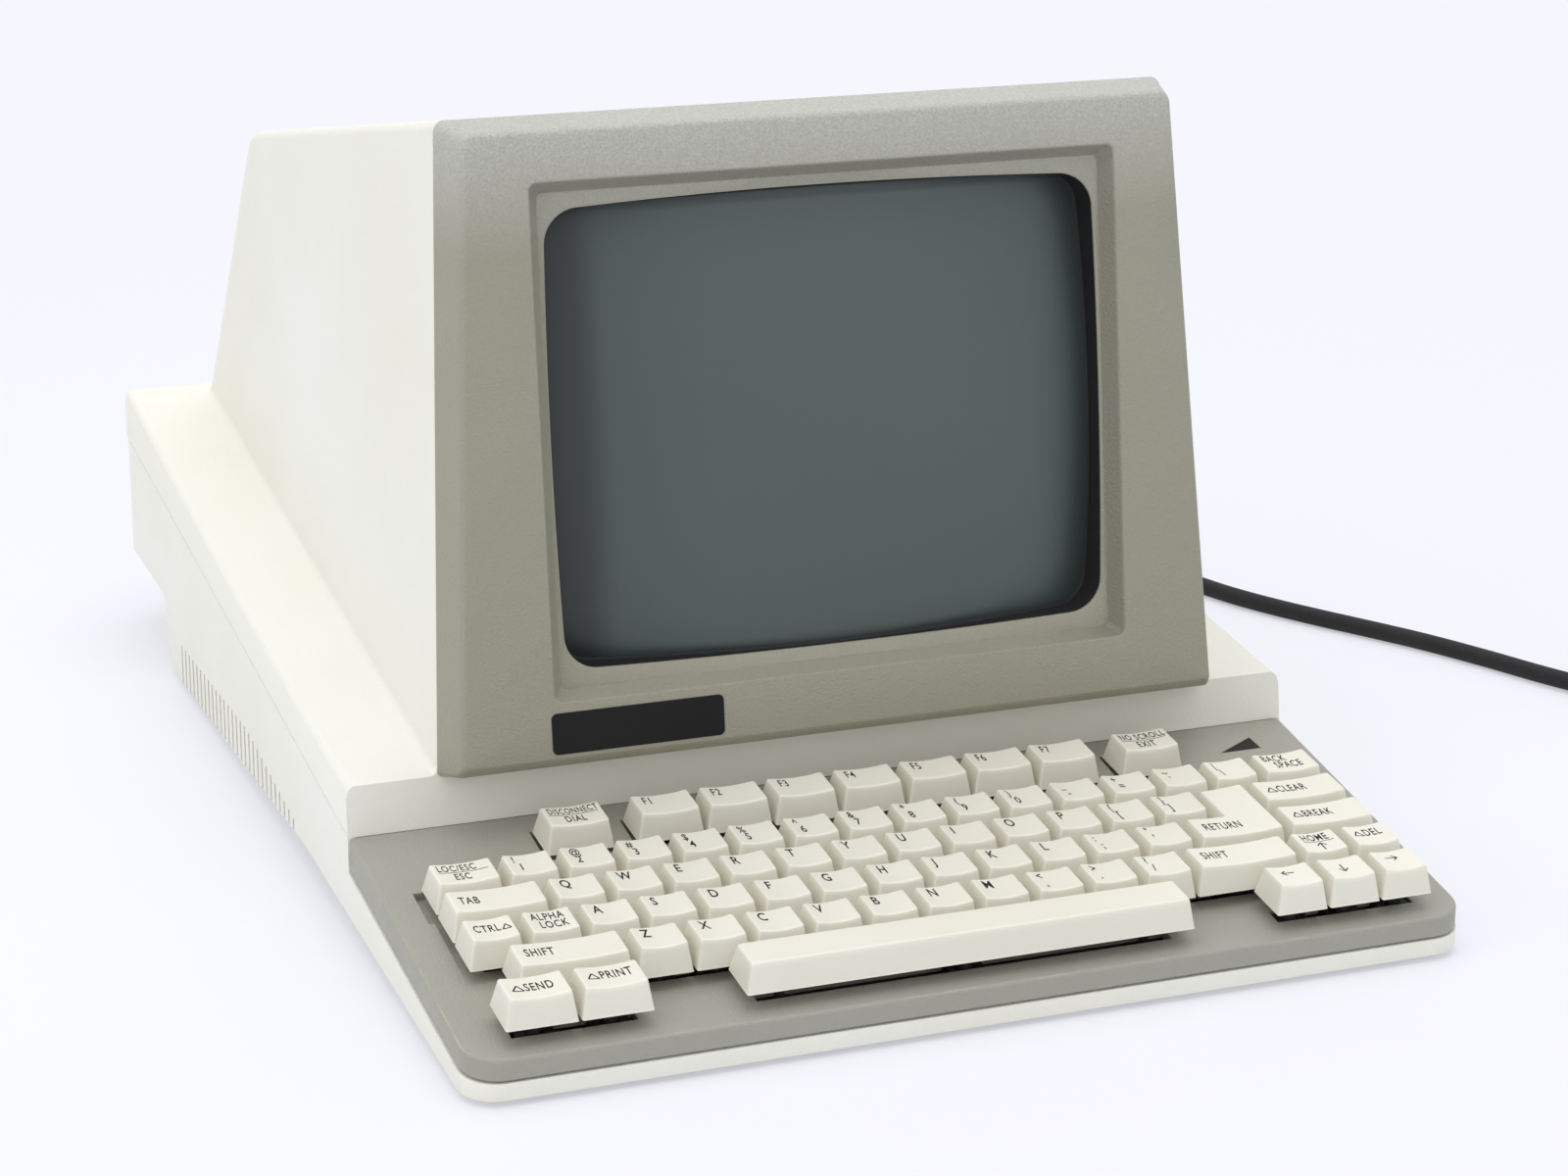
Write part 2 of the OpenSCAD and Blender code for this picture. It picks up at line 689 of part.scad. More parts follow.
module serial_ports() {
    color(dark) from_lip() for (x = port_x) {
        translate([x - 27, rear_in - 10, rear_mid - 6.5]) cube([54, 8, 13]);
        difference() {
            translate([x - 20, rear_in - 3, rear_mid - 5]) cube([40, wall + 3, 10]);
            for (i = [0:12], j = [0, 1]) if (i + j < 13)
                translate([x - 16.4 + i * 2.73 + j * 1.37, rear_in - 1, rear_mid + 1.4 - j * 2.8])
                    rotate([-90, 0, 0]) cylinder(d = 1.2, h = 8, $fn = 16);
        }
    }
}

module phone_jacks() {
    color(dark) from_lip() for (x = jack_x) difference() {
        union() {
            translate([x - 6.5, rear_in - 10, rear_mid - 6]) cube([13, 11.5, 12]);
            translate([x - 8, rear_in - 12, rear_mid - 7.5]) cube([16, 10, 15]);
        }
        translate([x - 5, rear_in - 9, rear_mid - 4]) cube([10, 20, 8]);
    }
}

module fuse_holder() {
    color(dark) from_lip() translate([fuse_x, rear_in, rear_mid - 2]) rotate([-90, 0, 0]) {
        translate([0, 0, -28]) cylinder(d = 12.2, h = 28);
        cylinder(d = 16, h = wall + 0.4);
    }
}

module power_rocker() {
    color(dark) from_lip() translate([rocker_x, rear_in - 3, rear_mid]) {
        rotate([90, 0, 90]) linear_extrude(height = rocker_w, center = true)
            polygon([[-5, -6], [-5, 6], [3, rocker_h / 2 - 1], [6, rocker_h / 2 - 1.6], [4.4, 0],
                [6, -rocker_h / 2 + 1.6], [3, -rocker_h / 2 + 1]]);
        rotate([0, 90, 0]) cylinder(d = 3, h = rocker_w + 5, center = true);
    }
}

module contrast_wheel() {
    color(dark) from_lip() translate([wheel_x, wheel_y, wheel_z]) difference() {
        cylinder(d = wheel_d, h = wheel_t);
        translate([0, 0, -1]) cylinder(d = wheel_pin + 2 * wheel_fit, h = wheel_t + 2);
        for (a = [0:15:345]) rotate([0, 0, a]) translate([wheel_d / 2, 0, -1])
            cylinder(d = 1.2, h = wheel_t + 2, $fn = 16);
    }
}

plate_v0 = -76.5;
plate_v1 = row_v(f_row) + key_pitch + 2;

module key_plate() {
    color(steel) key_frame() difference() {
        translate([-hw + 6.5, plate_v0, -plate_t]) cube([body_w - 13, plate_v1 - plate_v0, plate_t]);
        for (r = key_rows, k = r[1]) translate([key_cx(k), row_v(r[0]) + key_pitch / 2, -5])
            translate([-housing_w / 2 - 0.1, -housing_w / 2 - 0.1, 0])
                cube([housing_w + 0.2, housing_w + 0.2, 10]);
        for (s = [-1, 1]) translate([key_cx([4, 8]) + s * space_span, row_v(5) + key_pitch / 2, -5])
            cylinder(d = 3.8, h = 10);
    }
}

function key_cx(k) = key_x0 + (k[0] + k[1] / 2) * col_pitch;

module key_housings() {
    color([0.2, 0.2, 0.22]) key_frame() for (r = key_rows, k = r[1])
        translate([key_cx(k), row_v(r[0]) + key_pitch / 2, housing_low]) difference() {
            translate([-housing_w / 2, -housing_w / 2, 0])
                cube([housing_w, housing_w, housing_top - housing_low]);
            translate([0, 0, housing_floor]) cylinder(d = stem_d + 2 * stem_fit, h = 20, $fn = 24);
        }
}

module key_board() {
    color(board_green) key_frame() translate([-hw + 17.5, plate_v0 + 2, housing_low - board_t])
        cube([body_w - 35, plate_v1 - plate_v0 - 4, board_t]);
}

// Solid cap on a cell w wide and d deep, from the cell's front left corner
module cap_form(w, d, dish) {
    g = cap_gap / 2;
    top_half = w / 2 - g - cap_side;
    difference() {
        intersection() {
            run(d) polygon([[g, cap_lift], [w - g, cap_lift],
                [w - g - cap_side, cap_top], [g + cap_side, cap_top]]);
            translate([w / 2, 0, 0]) slab(w) polygon([[g, cap_lift], [d - g, cap_lift],
                [d - g - cap_back, cap_top], [g + cap_front, cap_top]]);
        }
        if (dish > 0) {
            r = (top_half * top_half + dish * dish) / (2 * dish);
            translate([w / 2, -1, cap_top + r - dish]) rotate([-90, 0, 0])
                cylinder(r = r, h = d + 2, $fn = 96);
        }
    }
}

module stem(x, v) {
    translate([x, v, stem_low]) cylinder(d = stem_d, h = cap_lift - stem_low + 1, $fn = 24);
}

// One key: left edge and width in pitches, and its row
module key(left, width, row) {
    w = width * col_pitch;
    color(cream) key_frame() translate([key_x0 + left * col_pitch, row_v(row), 0]) {
        cap_form(w, key_pitch, cap_dish);
        stem(w / 2, key_pitch / 2);
    }
}

module number_keys() {
    for (i = [0:13]) key(1.25 + i, 1, 1);
}

module upper_keys() {
    for (i = [0:11]) key(1.75 + i, 1, 2);
}

module home_keys() {
    for (i = [0:10]) key(2 + i, 1, 3);
}

module lower_keys() {
    for (i = [0:9]) key(2.5 + i, 1, 4);
}

module function_keys() {
    for (i = [0:6]) key(4 + 1.25 * i, 1.25, f_row);
}

module key_dial() key(2.37, 1.25, f_row);

module key_no_scroll() key(13.15, 1.25, f_row);

module key_esc() key(0, 1.25, 1);

module key_backspace() key(15.25, 1.25, 1);

module key_tab() key(0, 1.75, 2);

module key_clear() key(14.75, 1.75, 2);

module key_ctrl() key(0, 1, 3);

module key_alpha_lock() key(1, 1, 3);

module key_break() key(14.75, 1.75, 3);

module key_shift_left() key(0.5, 2, 4);

module key_shift_right() key(12.5, 2, 4);

module key_home() key(14.5, 1, 4);

module key_del() key(15.5, 1, 4);

module key_send() key(0, 1.25, 5);

module key_print() key(1.25, 1.25, 5);

module key_left() key(13.5, 1, 5);

module key_down() key(14.5, 1, 5);

module key_right() key(15.5, 1, 5);

// The two-row return key has an upright part and a foot to the left
module key_return() {
    color(cream) key_frame() translate([key_x0 + 13 * col_pitch, row_v(3), 0]) {
        cap_form(1.75 * col_pitch, key_pitch, 0);
        translate([0.75 * col_pitch, 0, 0]) cap_form(col_pitch, 2 * key_pitch, 0);
        stem(1.75 * col_pitch / 2, key_pitch / 2);
        stem(1.25 * col_pitch, 1.5 * key_pitch);
    }
}

module key_space() {
    w = 8 * col_pitch;
    color(cream) key_frame() translate([key_x0 + 4 * col_pitch, row_v(5), 0]) {
        cap_form(w, key_pitch, 0);
        stem(w / 2, key_pitch / 2);
        for (s = [-1, 1]) translate([w / 2 + s * space_span, key_pitch / 2, 0.5])
            cylinder(d = 3, h = cap_lift, $fn = 24);
    }
}

module strain_relief() {
    bore = cord_d / 2;
    color(dark) translate([relief_x, relief_y, relief_z]) rotate([-90, 0, 0]) {
        translate([0, 0, -wall - 4]) cylinder(d = cord_d + 5, h = wall + 4);
        cylinder(d = cord_d + 9, h = 3);
        translate([0, 0, 3]) cylinder(d1 = cord_d + 6, d2 = cord_d + 2.4, h = relief_l - 3);
        translate([0, 0, -wall - 7]) cylinder(d = cord_d + 9, h = 3);
    }
}

// Tube of n sides along a list of points
module tube(points, r, n) {
    last = len(points) - 1;
    function way(i) = let (d = points[min(i + 1, last)] - points[max(i - 1, 0)]) d / norm(d);
    function end_way(i) = i == 0 ? points[1] - points[0] : points[last] - points[last - 1];
    function ring_way(i) = i == 0 || i == last ? end_way(i) / norm(end_way(i)) : way(i);
    function side(i) = let (s = cross(ring_way(i), [0, 0, 1])) s / norm(s);
    verts = [for (i = [0:last], k = [0:n - 1]) let (s = side(i), u = cross(s, ring_way(i)), a = 360 * k / n)
        points[i] + r * (cos(a) * s + sin(a) * u)];
    walls = [for (i = [0:last - 1], k = [0:n - 1], h = [0, 1]) let (a = i * n + k, b = i * n + (k + 1) % n)
        h == 0 ? [a, a + n, b + n] : [a, b + n, b]];
    caps = concat([for (k = [1:n - 2]) [0, k, k + 1]],
        [for (k = [1:n - 2]) [last * n, last * n + k + 1, last * n + k]]);
    polyhedron(points = verts, faces = concat(walls, caps));
}

module power_cord() {
    color(dark) tube(route, cord_r, 10);
}

module cord_coil() {
    color(dark) tube(coil_path, cord_r, 6);
}

module cord_tie() {
    t = 0.6;
    low = 0.15;
    inner = coil_in - cord_r - 0.8;
    outer = coil_out + cord_r + 0.8;
    high = coil_z + coil_pitch + cord_r + 0.5;
    color(dark) translate([coil_at[0], coil_at[1], 0]) rotate([0, 0, entry_a + 90])
        translate([0, -6, 0]) difference() {
        translate([inner - t, 0, low]) cube([outer - inner + 2 * t, 12, high - low + t]);
        translate([inner, -1, low + t]) cube([outer - inner, 14, high - low - t]);
    }
}

module mains_plug() {
    start = coil_exit + coil_tail * cord_dir;
    blade = 17;
    color(dark) translate(start) rotate([0, 0, heading]) {
        rotate([0, 90, 0]) cylinder(d1 = cord_d + 2, d2 = cord_d + 6, h = 18);
        translate([18, 0, 0]) intersection() {
            rotate([0, 90, 0]) cylinder(d = 34, h = 22);
            translate([0, -17, -11]) cube([22, 34, 22]);
        }
        for (s = [-1, 1]) translate([40, s * 6.35 - 0.75, -3.2]) cube([blade, 1.5, 6.4]);
        translate([40, 0, -8]) rotate([0, 90, 0]) cylinder(d = 4.8, h = blade + 2);
    }
}

base_pan();
top_case();
screen_bezel();
keyboard_panel();
badge_plate();
feet();
case_screws();
picture_tube();
tube_band();
tube_screws();
deflection_yoke();
neck_board();
video_board();
flyback_transformer();
logic_board();
logic_chips();
power_transformer();
connector_plate();
serial_ports();
phone_jacks();
fuse_holder();
power_rocker();
contrast_wheel();
key_plate();
key_housings();
key_board();
number_keys();
upper_keys();
home_keys();
lower_keys();
function_keys();
key_dial();
key_no_scroll();
key_esc();
key_backspace();
key_tab();
key_return();
key_clear();
key_ctrl();
key_alpha_lock();
key_break();
key_shift_left();
key_shift_right();
key_home();
key_del();
key_send();
key_print();
key_space();
key_left();
key_down();
key_right();
strain_relief();
power_cord();
cord_coil();
cord_tie();
mains_plug();
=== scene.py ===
"""Dress of a desk computer terminal: moulded casing, picture tube, keyboard and mains lead."""

import math

import bpy
import numpy as np
from mathutils import Matrix, Vector


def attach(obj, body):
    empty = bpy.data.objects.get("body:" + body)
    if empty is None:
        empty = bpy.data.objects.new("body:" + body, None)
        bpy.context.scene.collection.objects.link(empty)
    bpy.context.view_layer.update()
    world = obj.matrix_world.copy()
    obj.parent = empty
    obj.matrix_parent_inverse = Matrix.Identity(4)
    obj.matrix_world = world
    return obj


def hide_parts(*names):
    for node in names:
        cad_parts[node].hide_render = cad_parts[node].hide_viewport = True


bl_info = {
    "name": "Desk terminal dress",
    "version": (1, 0, 0),
    "blender": (4, 5, 0),
    "location": "View3D > Sidebar > Terminal",
    "description": "Surfaces, printing and finishes of a desk terminal on its packed frame",
    "category": "Object",
}

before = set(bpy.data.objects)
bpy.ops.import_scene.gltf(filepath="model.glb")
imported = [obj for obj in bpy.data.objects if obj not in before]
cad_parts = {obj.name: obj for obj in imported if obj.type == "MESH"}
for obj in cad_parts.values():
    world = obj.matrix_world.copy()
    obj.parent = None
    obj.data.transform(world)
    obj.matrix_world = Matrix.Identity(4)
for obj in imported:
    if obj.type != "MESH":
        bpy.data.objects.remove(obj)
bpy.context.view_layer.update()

# Sizes in millimetres, measured from the foot of the keyboard lip: x across, y to the rear, z up.
MM = 0.001
Y_MID = 105.7
BODY_HW = 169.5
REAR = 350.0
FRONT = -138.6
LIP_Z = 35.2
LEAN = math.radians(7.7)
SEAM_SLOPE = math.tan(math.radians(6.7))
SHELF_TILT = math.radians(6.0)
SHELF_Z = 55.0

# Head and screen face
HEAD_Z = 262.7
HEAD_DRAFT = math.tan(math.radians(3))
HEAD_FALL = math.tan(math.radians(12.0))
HEAD_REAR_Y = 279.6
REAR_STEEP = 1 / math.tan(math.radians(27.4))
FACE_Z = 53.3
FACE_Y = (FACE_Z - LIP_Z) * math.tan(LEAN)
FACE_H = (HEAD_Z - FACE_Z) / math.cos(LEAN)
FOOT_HW = 138.5
TOP_HW = FOOT_HW - (HEAD_Z - FACE_Z) * HEAD_DRAFT
BEZEL_T = 17.0
MASK_T = 11.0
GLASS_S = 106.1
GLASS_T = MASK_T - 0.7
GLASS_R = 520.0
OPEN_MID = np.array([0.0, 106.3])
OPEN_HALF = (97.3, 77.2)

# Keyboard panel and keys
PANEL_SLOPE = math.tan(math.radians(8.05))
RIM_Z = 22.9
RIM_SLOPE = (RIM_Z - 7.8) / -FRONT
KEY_SLOPE = math.radians(5.5)
KEY_Y, KEY_Z = -54.9, 19.6
PITCH = 19.05
KEY_X0 = -16.5 * PITCH / 2 + 0.6
FIRST_ROW = -2.7
F_ROW = -0.5
CAP_TOP = 20.0
CAP_H = 9.8
CAP_GAP = 0.5
TOP_IN = (2.2, 1.7, 2.5, 1.7)
STEM_D, STEM_LOW = 5.0, 1.4
GUIDE_X, GUIDE_D, GUIDE_LOW = 62.0, 3.0, 0.5

# Camera fitted to the photo: focal length and shift as shares of the picture's width, place, and axes
SENSOR = 36.0
FOCAL = 4009.57 / 1600
CAMERA_SHIFT = -0.1
CAMERA_AT = np.array([-453.833, -1164.585 - Y_MID, 517.732])
CAMERA_RIGHT = np.array([0.9236271, -0.3828052, 0.0193192])
CAMERA_DOWN = np.array([-0.1036887, -0.298067, -0.9488966])
CAMERA_AHEAD = np.array([0.369001, 0.8744234, -0.3149953])


def srgb(r, g, b):
    """Linear colour from an 8-bit screen colour."""
    c = np.array([r, g, b]) / 255.0
    lin = np.where(c <= 0.04045, c / 12.92, ((c + 0.055) / 1.055) ** 2.4)
    return (float(lin[0]), float(lin[1]), float(lin[2]), 1.0)


class TerminalSizes(bpy.types.PropertyGroup):
    """Sizes of the dress that a user would change."""

    cap_fillet: bpy.props.FloatProperty(
        name="Cap edge", description="Radius of the top edge of a key cap, mm",
        default=0.55, min=0.2, max=1.2)
    cap_dish: bpy.props.FloatProperty(
        name="Cap hollow", description="Depth of the finger hollow, mm", default=0.9, min=0.0, max=1.2)
    print_lift: bpy.props.FloatProperty(
        name="Print lift", description="Height of the printed legends over the caps, mm",
        default=0.03, min=0.01, max=0.1)
    bezel_edge: bpy.props.FloatProperty(
        name="Bezel edge", description="Radius of the screen bezel's front edge, mm",
        default=1.8, min=1.0, max=5.0)
    panel_edge: bpy.props.FloatProperty(
        name="Panel edge", description="Radius of the keyboard panel's edge, mm",
        default=1.2, min=0.8, max=5.0)
    shelf_edge: bpy.props.FloatProperty(
        name="Shelf edge", description="Radius of the side shelves' outer edge, mm",
        default=3.2, min=2.0, max=8.0)
    cord_d: bpy.props.FloatProperty(
        name="Cord", description="Diameter of the mains cord, mm", default=7.0, min=5.0, max=9.0)


class TerminalColours(bpy.types.PropertyGroup):
    """Colours of the finishes."""

    casing: bpy.props.FloatVectorProperty(
        name="Casing", description="Cream casing plastic", subtype="COLOR", size=4, min=0, max=1,
        default=srgb(241, 240, 231))
    bezel: bpy.props.FloatVectorProperty(
        name="Bezels", description="Warm grey paint of the bezels", subtype="COLOR", size=4, min=0, max=1,
        default=srgb(155, 153, 136))
    caps: bpy.props.FloatVectorProperty(
        name="Key caps", description="Ivory key cap plastic", subtype="COLOR", size=4, min=0, max=1,
        default=srgb(239, 236, 222))
    glass: bpy.props.FloatVectorProperty(
        name="Glass", description="Unlit screen", subtype="COLOR", size=4, min=0, max=1,
        default=srgb(78, 90, 88))
    ink: bpy.props.FloatVectorProperty(
        name="Printing", description="Ink of the key legends", subtype="COLOR", size=4, min=0, max=1,
        default=srgb(32, 31, 30))
    lead: bpy.props.FloatVectorProperty(
        name="Lead", description="Sheath of the mains lead", subtype="COLOR", size=4, min=0, max=1,
        default=srgb(30, 30, 31))


def sizes():
    return bpy.context.scene.terminal_sizes


def colours():
    return bpy.context.scene.terminal_colours


# Frames


def to_frame(p):
    """Lip millimetres to the shared frame in metres."""
    return (np.asarray(p, float) - np.array([0.0, Y_MID, 0.0])) * MM


def face_point(x, s, t):
    """Point x across, s up the leaning screen face and t out of it."""
    y = FACE_Y + s * math.sin(LEAN) - t * math.cos(LEAN)
    z = FACE_Z + s * math.cos(LEAN) + t * math.sin(LEAN)
    return np.stack(np.broadcast_arrays(x, y, z), -1)


def key_point(x, v, w):
    """Point x across, v up the key slope and w away from the key plate."""
    y = KEY_Y + v * math.cos(KEY_SLOPE) - w * math.sin(KEY_SLOPE)
    z = KEY_Z + v * math.sin(KEY_SLOPE) + w * math.cos(KEY_SLOPE)
    return np.stack(np.broadcast_arrays(x, y, z), -1)


def row_v(row):
    """Front edge of a key row, up the key slope."""
    return FIRST_ROW - PITCH * (row - 1)


# Surfaces


def quads_of(ids):
    """Quads between neighbouring rows and columns of a grid of point numbers."""
    return np.stack([ids[:-1, :-1], ids[:-1, 1:], ids[1:, 1:], ids[1:, :-1]], -1)


class Shell:
    """Collects surfaces as arrays and turns them into one mesh."""

    def __init__(self):
        self.points, self.faces, self.rims, self.count = [], [], [], 0

    def add(self, points, faces, rim=None):
        """Takes points, blocks of faces that count from the first of them, and a rim share for each point."""
        points = np.asarray(points, float).reshape(-1, 3)
        self.points.append(points)
        self.rims.append(np.zeros(len(points)) if rim is None else np.asarray(rim, float).ravel())
        self.faces += [np.asarray(f) + self.count for f in faces if len(f)]
        self.count += len(points)

    def sheet(self, grid, closed=False, rim=None, flip=False):
        """Quads over a (rows, columns, 3) grid, whose last column also joins the first where it is closed."""
        ids = np.arange(grid.shape[0] * grid.shape[1]).reshape(grid.shape[:2])
        if closed:
            ids = np.concatenate([ids, ids[:, :1]], 1)
        quads = quads_of(ids).reshape(-1, 4)
        self.add(grid, [quads[:, ::-1] if flip else quads], rim)

    def fan(self, ring, centre, flip=False):
        """Triangles from a ring to a point."""
        n = len(ring)
        i = np.arange(n)
        tris = np.stack([i, (i + 1) % n, np.full(n, n)], -1)
        self.add(np.concatenate([ring, centre[None]]), [tris[:, ::-1] if flip else tris])

    def build(self, name, material, smooth_deg=35.0):
        """Mesh object of all surfaces, smooth up to the given angle, with the rim shares as an attribute."""
        mesh = bpy.data.meshes.new(name)
        faces = [f for part in self.faces for f in part.tolist()]
        mesh.from_pydata(to_frame(np.concatenate(self.points)).tolist(), [], faces)
        rim = mesh.attributes.new("rim", "FLOAT", "POINT")
        rim.data.foreach_set("value", np.concatenate(self.rims).astype(np.float32))
        mesh.validate()
        mesh.update()
        mesh.shade_smooth()
        mesh.set_sharp_from_angle(angle=math.radians(smooth_deg))
        mesh.materials.append(material)
        obj = bpy.data.objects.new(name, mesh)
        bpy.context.scene.collection.objects.link(obj)
        return obj


class Rings:
    """Stack of outlines with a depth and a rim share at each point, laid as one closed sheet."""

    def __init__(self):
        self.lines, self.depths, self.rims = [], [], []

    def add(self, line, depth, rim=0.0):
        level = np.zeros(len(line))
        self.lines.append(line)
        self.depths.append(depth + level)
        self.rims.append(rim + level)

    def lay(self, shell, point, flip=False):
        """Sheet through the outlines, put in place by face_point or key_point."""
        flat = np.array(self.lines)
        grid = point(flat[..., 0], flat[..., 1], np.array(self.depths))
        shell.sheet(grid, closed=True, rim=np.array(self.rims), flip=flip)
        return grid


def settle(obj, body, slot, *nodes):
    """Hands a piece to the frame: the body it rides on and the CAD nodes it stands for, which it hides.
    The slot argument is not used.
    """
    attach(obj, body)
    if nodes:
        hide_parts(*nodes)


def inset(corners, by):
    """Polygon whose edge i, from corner i on, is moved inward by by[i]."""
    c = np.asarray(corners, float)
    d = np.roll(c, -1, 0) - c
    d /= np.linalg.norm(d, axis=1, keepdims=True)
    n = np.stack([-d[:, 1], d[:, 0]], -1)
    p = c + n * np.asarray(by, float)[:, None]
    q, e = np.roll(p, 1, 0), np.roll(d, 1, 0)
    cross = e[:, 0] * d[:, 1] - e[:, 1] * d[:, 0]
    k = ((p - q)[:, 0] * d[:, 1] - (p - q)[:, 1] * d[:, 0]) / cross
    return q + e * k[:, None]


def outline(corners, radius, arc=6, edge=8):
    """Points round a polygon: an arc of the given radius at each corner and even steps along each edge."""
    c = np.asarray(corners, float)
    r = np.broadcast_to(np.asarray(radius, float), (len(c),))
    a = np.roll(c, 1, 0) - c
    b = np.roll(c, -1, 0) - c
    a /= np.linalg.norm(a, axis=1, keepdims=True)
    b /= np.linalg.norm(b, axis=1, keepdims=True)
    half = np.arccos(np.clip((a * b).sum(1), -1, 1)) / 2
    reach = (r / np.tan(half))[:, None]
    mid = a + b
    centre = c + mid / np.linalg.norm(mid, axis=1, keepdims=True) * (r / np.sin(half))[:, None]
    p0, p1 = c + a * reach, c + b * reach
    a0 = np.arctan2(*(p0 - centre).T[::-1])
    a1 = np.arctan2(*(p1 - centre).T[::-1])
    turn = (a1 - a0 + np.pi) % (2 * np.pi) - np.pi
    ang = a0[:, None] + turn[:, None] * np.linspace(0, 1, arc)
    arcs = centre[:, None] + r[:, None, None] * np.stack([np.cos(ang), np.sin(ang)], -1)
    nxt = np.roll(p0, -1, 0)
    u = np.linspace(0, 1, edge + 2)[1:-1]
    edges = p1[:, None] + (nxt - p1)[:, None] * u[None, :, None]
    return np.concatenate([arcs, edges], 1).reshape(-1, 2)


def fillet(steps):
    """Inset and height shares of a quarter round, from the side to the top."""
    a = np.linspace(0, np.pi / 2, steps)
    return 1 - np.cos(a), np.sin(a)


def opening(grow, radius=11.0, arc=10, edge=20):
    """Outline of the glass opening, grown by so much: a box with round corners, whose sides are then bowed
    by a share that grows with the square of the way to the corner."""
    a, b = OPEN_HALF[0] + grow, OPEN_HALF[1] + grow
    x, y = outline([(-a, -b), (a, -b), (a, b), (-a, b)], radius + grow, arc, edge).T
    return OPEN_MID + np.stack([x * (1 - 0.015 * (y / b) ** 2), y * (1 - 0.03 * (x / a) ** 2)], -1)


def opening_depth(flat):
    """Depth of the opening's edge: level at the sides and corners, drawn down along the top and bottom."""
    x, y = np.abs((flat - OPEN_MID) / np.array(OPEN_HALF)).T
    return MASK_T - 0.1 - 3.0 * np.clip(y, 0, 1) ** 6 * (1 - np.clip(x, 0, 1) ** 2)


def glass_depth(flat):
    """Depth of the domed glass at points of the screen face: a ball that is highest at the middle."""
    d2 = ((flat - np.array([0.0, GLASS_S])) ** 2).sum(-1)
    return GLASS_T - d2 / (GLASS_R + np.sqrt(GLASS_R**2 - d2))


# Finishes


def new_group(name, ins, outs):
    """Empty node group with the named sockets, its input node's outputs and its output node."""
    group = bpy.data.node_groups.new(name, "ShaderNodeTree")
    for label, kind, default in ins:
        sock = group.interface.new_socket(label, in_out="INPUT", socket_type=kind)
        if default is not None:
            sock.default_value = default
    for label, kind in outs:
        group.interface.new_socket(label, in_out="OUTPUT", socket_type=kind)
    return group, group.nodes.new("NodeGroupInput").outputs, group.nodes.new("NodeGroupOutput")


def wire(tree, n, inputs):
    """Feeds a node's inputs: a socket is linked, and anything else is set as the value."""
    for key, value in inputs.items():
        if isinstance(value, bpy.types.NodeSocket):
            tree.links.new(value, n.inputs[key])
        else:
            n.inputs[key].default_value = value


def node(tree, kind, inputs=None, **settings):
    n = tree.nodes.new(kind)
    for key, value in settings.items():
        setattr(n, key, value)
    wire(tree, n, inputs or {})
    return n


def ramp(tree, fac, low=0.0, high=1.0, least=0.0, most=1.0):
    """Value stretched from low and high onto least and most, and clamped."""
    ends = {"Value": fac, "From Min": low, "From Max": high, "To Min": least, "To Max": most}
    return node(tree, "ShaderNodeMapRange", ends).outputs["Result"]


def mix(tree, fac, a, b):
    return node(tree, "ShaderNodeMix", {0: fac, 6: a, 7: b}, data_type="RGBA").outputs[2]


def maths(tree, op, a, b, c=0.0):
    return node(tree, "ShaderNodeMath", {0: a, 1: b, 2: c}, operation=op).outputs[0]


def noise(tree, where, scale, detail, rough=0.5):
    look = {"Vector": where, "Scale": scale, "Detail": detail, "Roughness": rough}
    return node(tree, "ShaderNodeTexNoise", look).outputs["Fac"]


def moulded_grain():
    """Fine pebbled grain of a moulded or painted skin: small cells broken up by noise."""
    name = "moulded_grain"
    if name in bpy.data.node_groups:
        return bpy.data.node_groups[name]
    g, i, o = new_group(name, [("Vector", "NodeSocketVector", None), ("Scale", "NodeSocketFloat", 900.0)],
                        [("Height", "NodeSocketFloat"), ("Fleck", "NodeSocketFloat")])
    cells = node(g, "ShaderNodeTexVoronoi", {"Vector": i["Vector"], "Scale": i["Scale"]})
    soft = noise(g, i["Vector"], i["Scale"], 3.0)
    spots = noise(g, i["Vector"], 160.0, 4.0)
    wire(g, o, {"Height": maths(g, "MULTIPLY_ADD", cells.outputs["Distance"], 0.6, soft),
                "Fleck": ramp(g, spots, 0.7, 0.8)})
    return g


def age_tone():
    """Slow drift of tone over a large plastic part, with soft hand marks."""
    name = "age_tone"
    if name in bpy.data.node_groups:
        return bpy.data.node_groups[name]
    g, i, o = new_group(name, [("Vector", "NodeSocketVector", None), ("Color", "NodeSocketColor", None),
                               ("Aged", "NodeSocketColor", None), ("Amount", "NodeSocketFloat", 0.4)],
                        [("Color", "NodeSocketColor"), ("Marks", "NodeSocketFloat")])
    slow = noise(g, i["Vector"], 7.0, 3.0, 0.55)
    marks = noise(g, i["Vector"], 42.0, 5.0, 0.65)
    share = maths(g, "MULTIPLY", ramp(g, slow, 0.32, 0.72), i["Amount"])
    wire(g, o, {"Color": mix(g, share, i["Color"], i["Aged"]), "Marks": ramp(g, marks, 0.45, 0.75)})
    return g


def edge_rub():
    """Share of worn finish: the piece's rim attribute broken up by noise."""
    name = "edge_rub"
    if name in bpy.data.node_groups:
        return bpy.data.node_groups[name]
    g, i, o = new_group(name, [("Vector", "NodeSocketVector", None), ("Rim", "NodeSocketFloat", 0.0),
                               ("Reach", "NodeSocketFloat", 0.5)], [("Wear", "NodeSocketFloat")])
    chips = noise(g, i["Vector"], 110.0, 6.0, 0.7)
    patches = noise(g, i["Vector"], 14.0, 2.0)
    level = maths(g, "MULTIPLY", chips, maths(g, "ADD", patches, 0.35))
    worn = maths(g, "MULTIPLY", maths(g, "MULTIPLY", level, i["Rim"]), i["Reach"])
    wire(g, o, {"Wear": ramp(g, worn, 0.22, 0.3)})
    return g


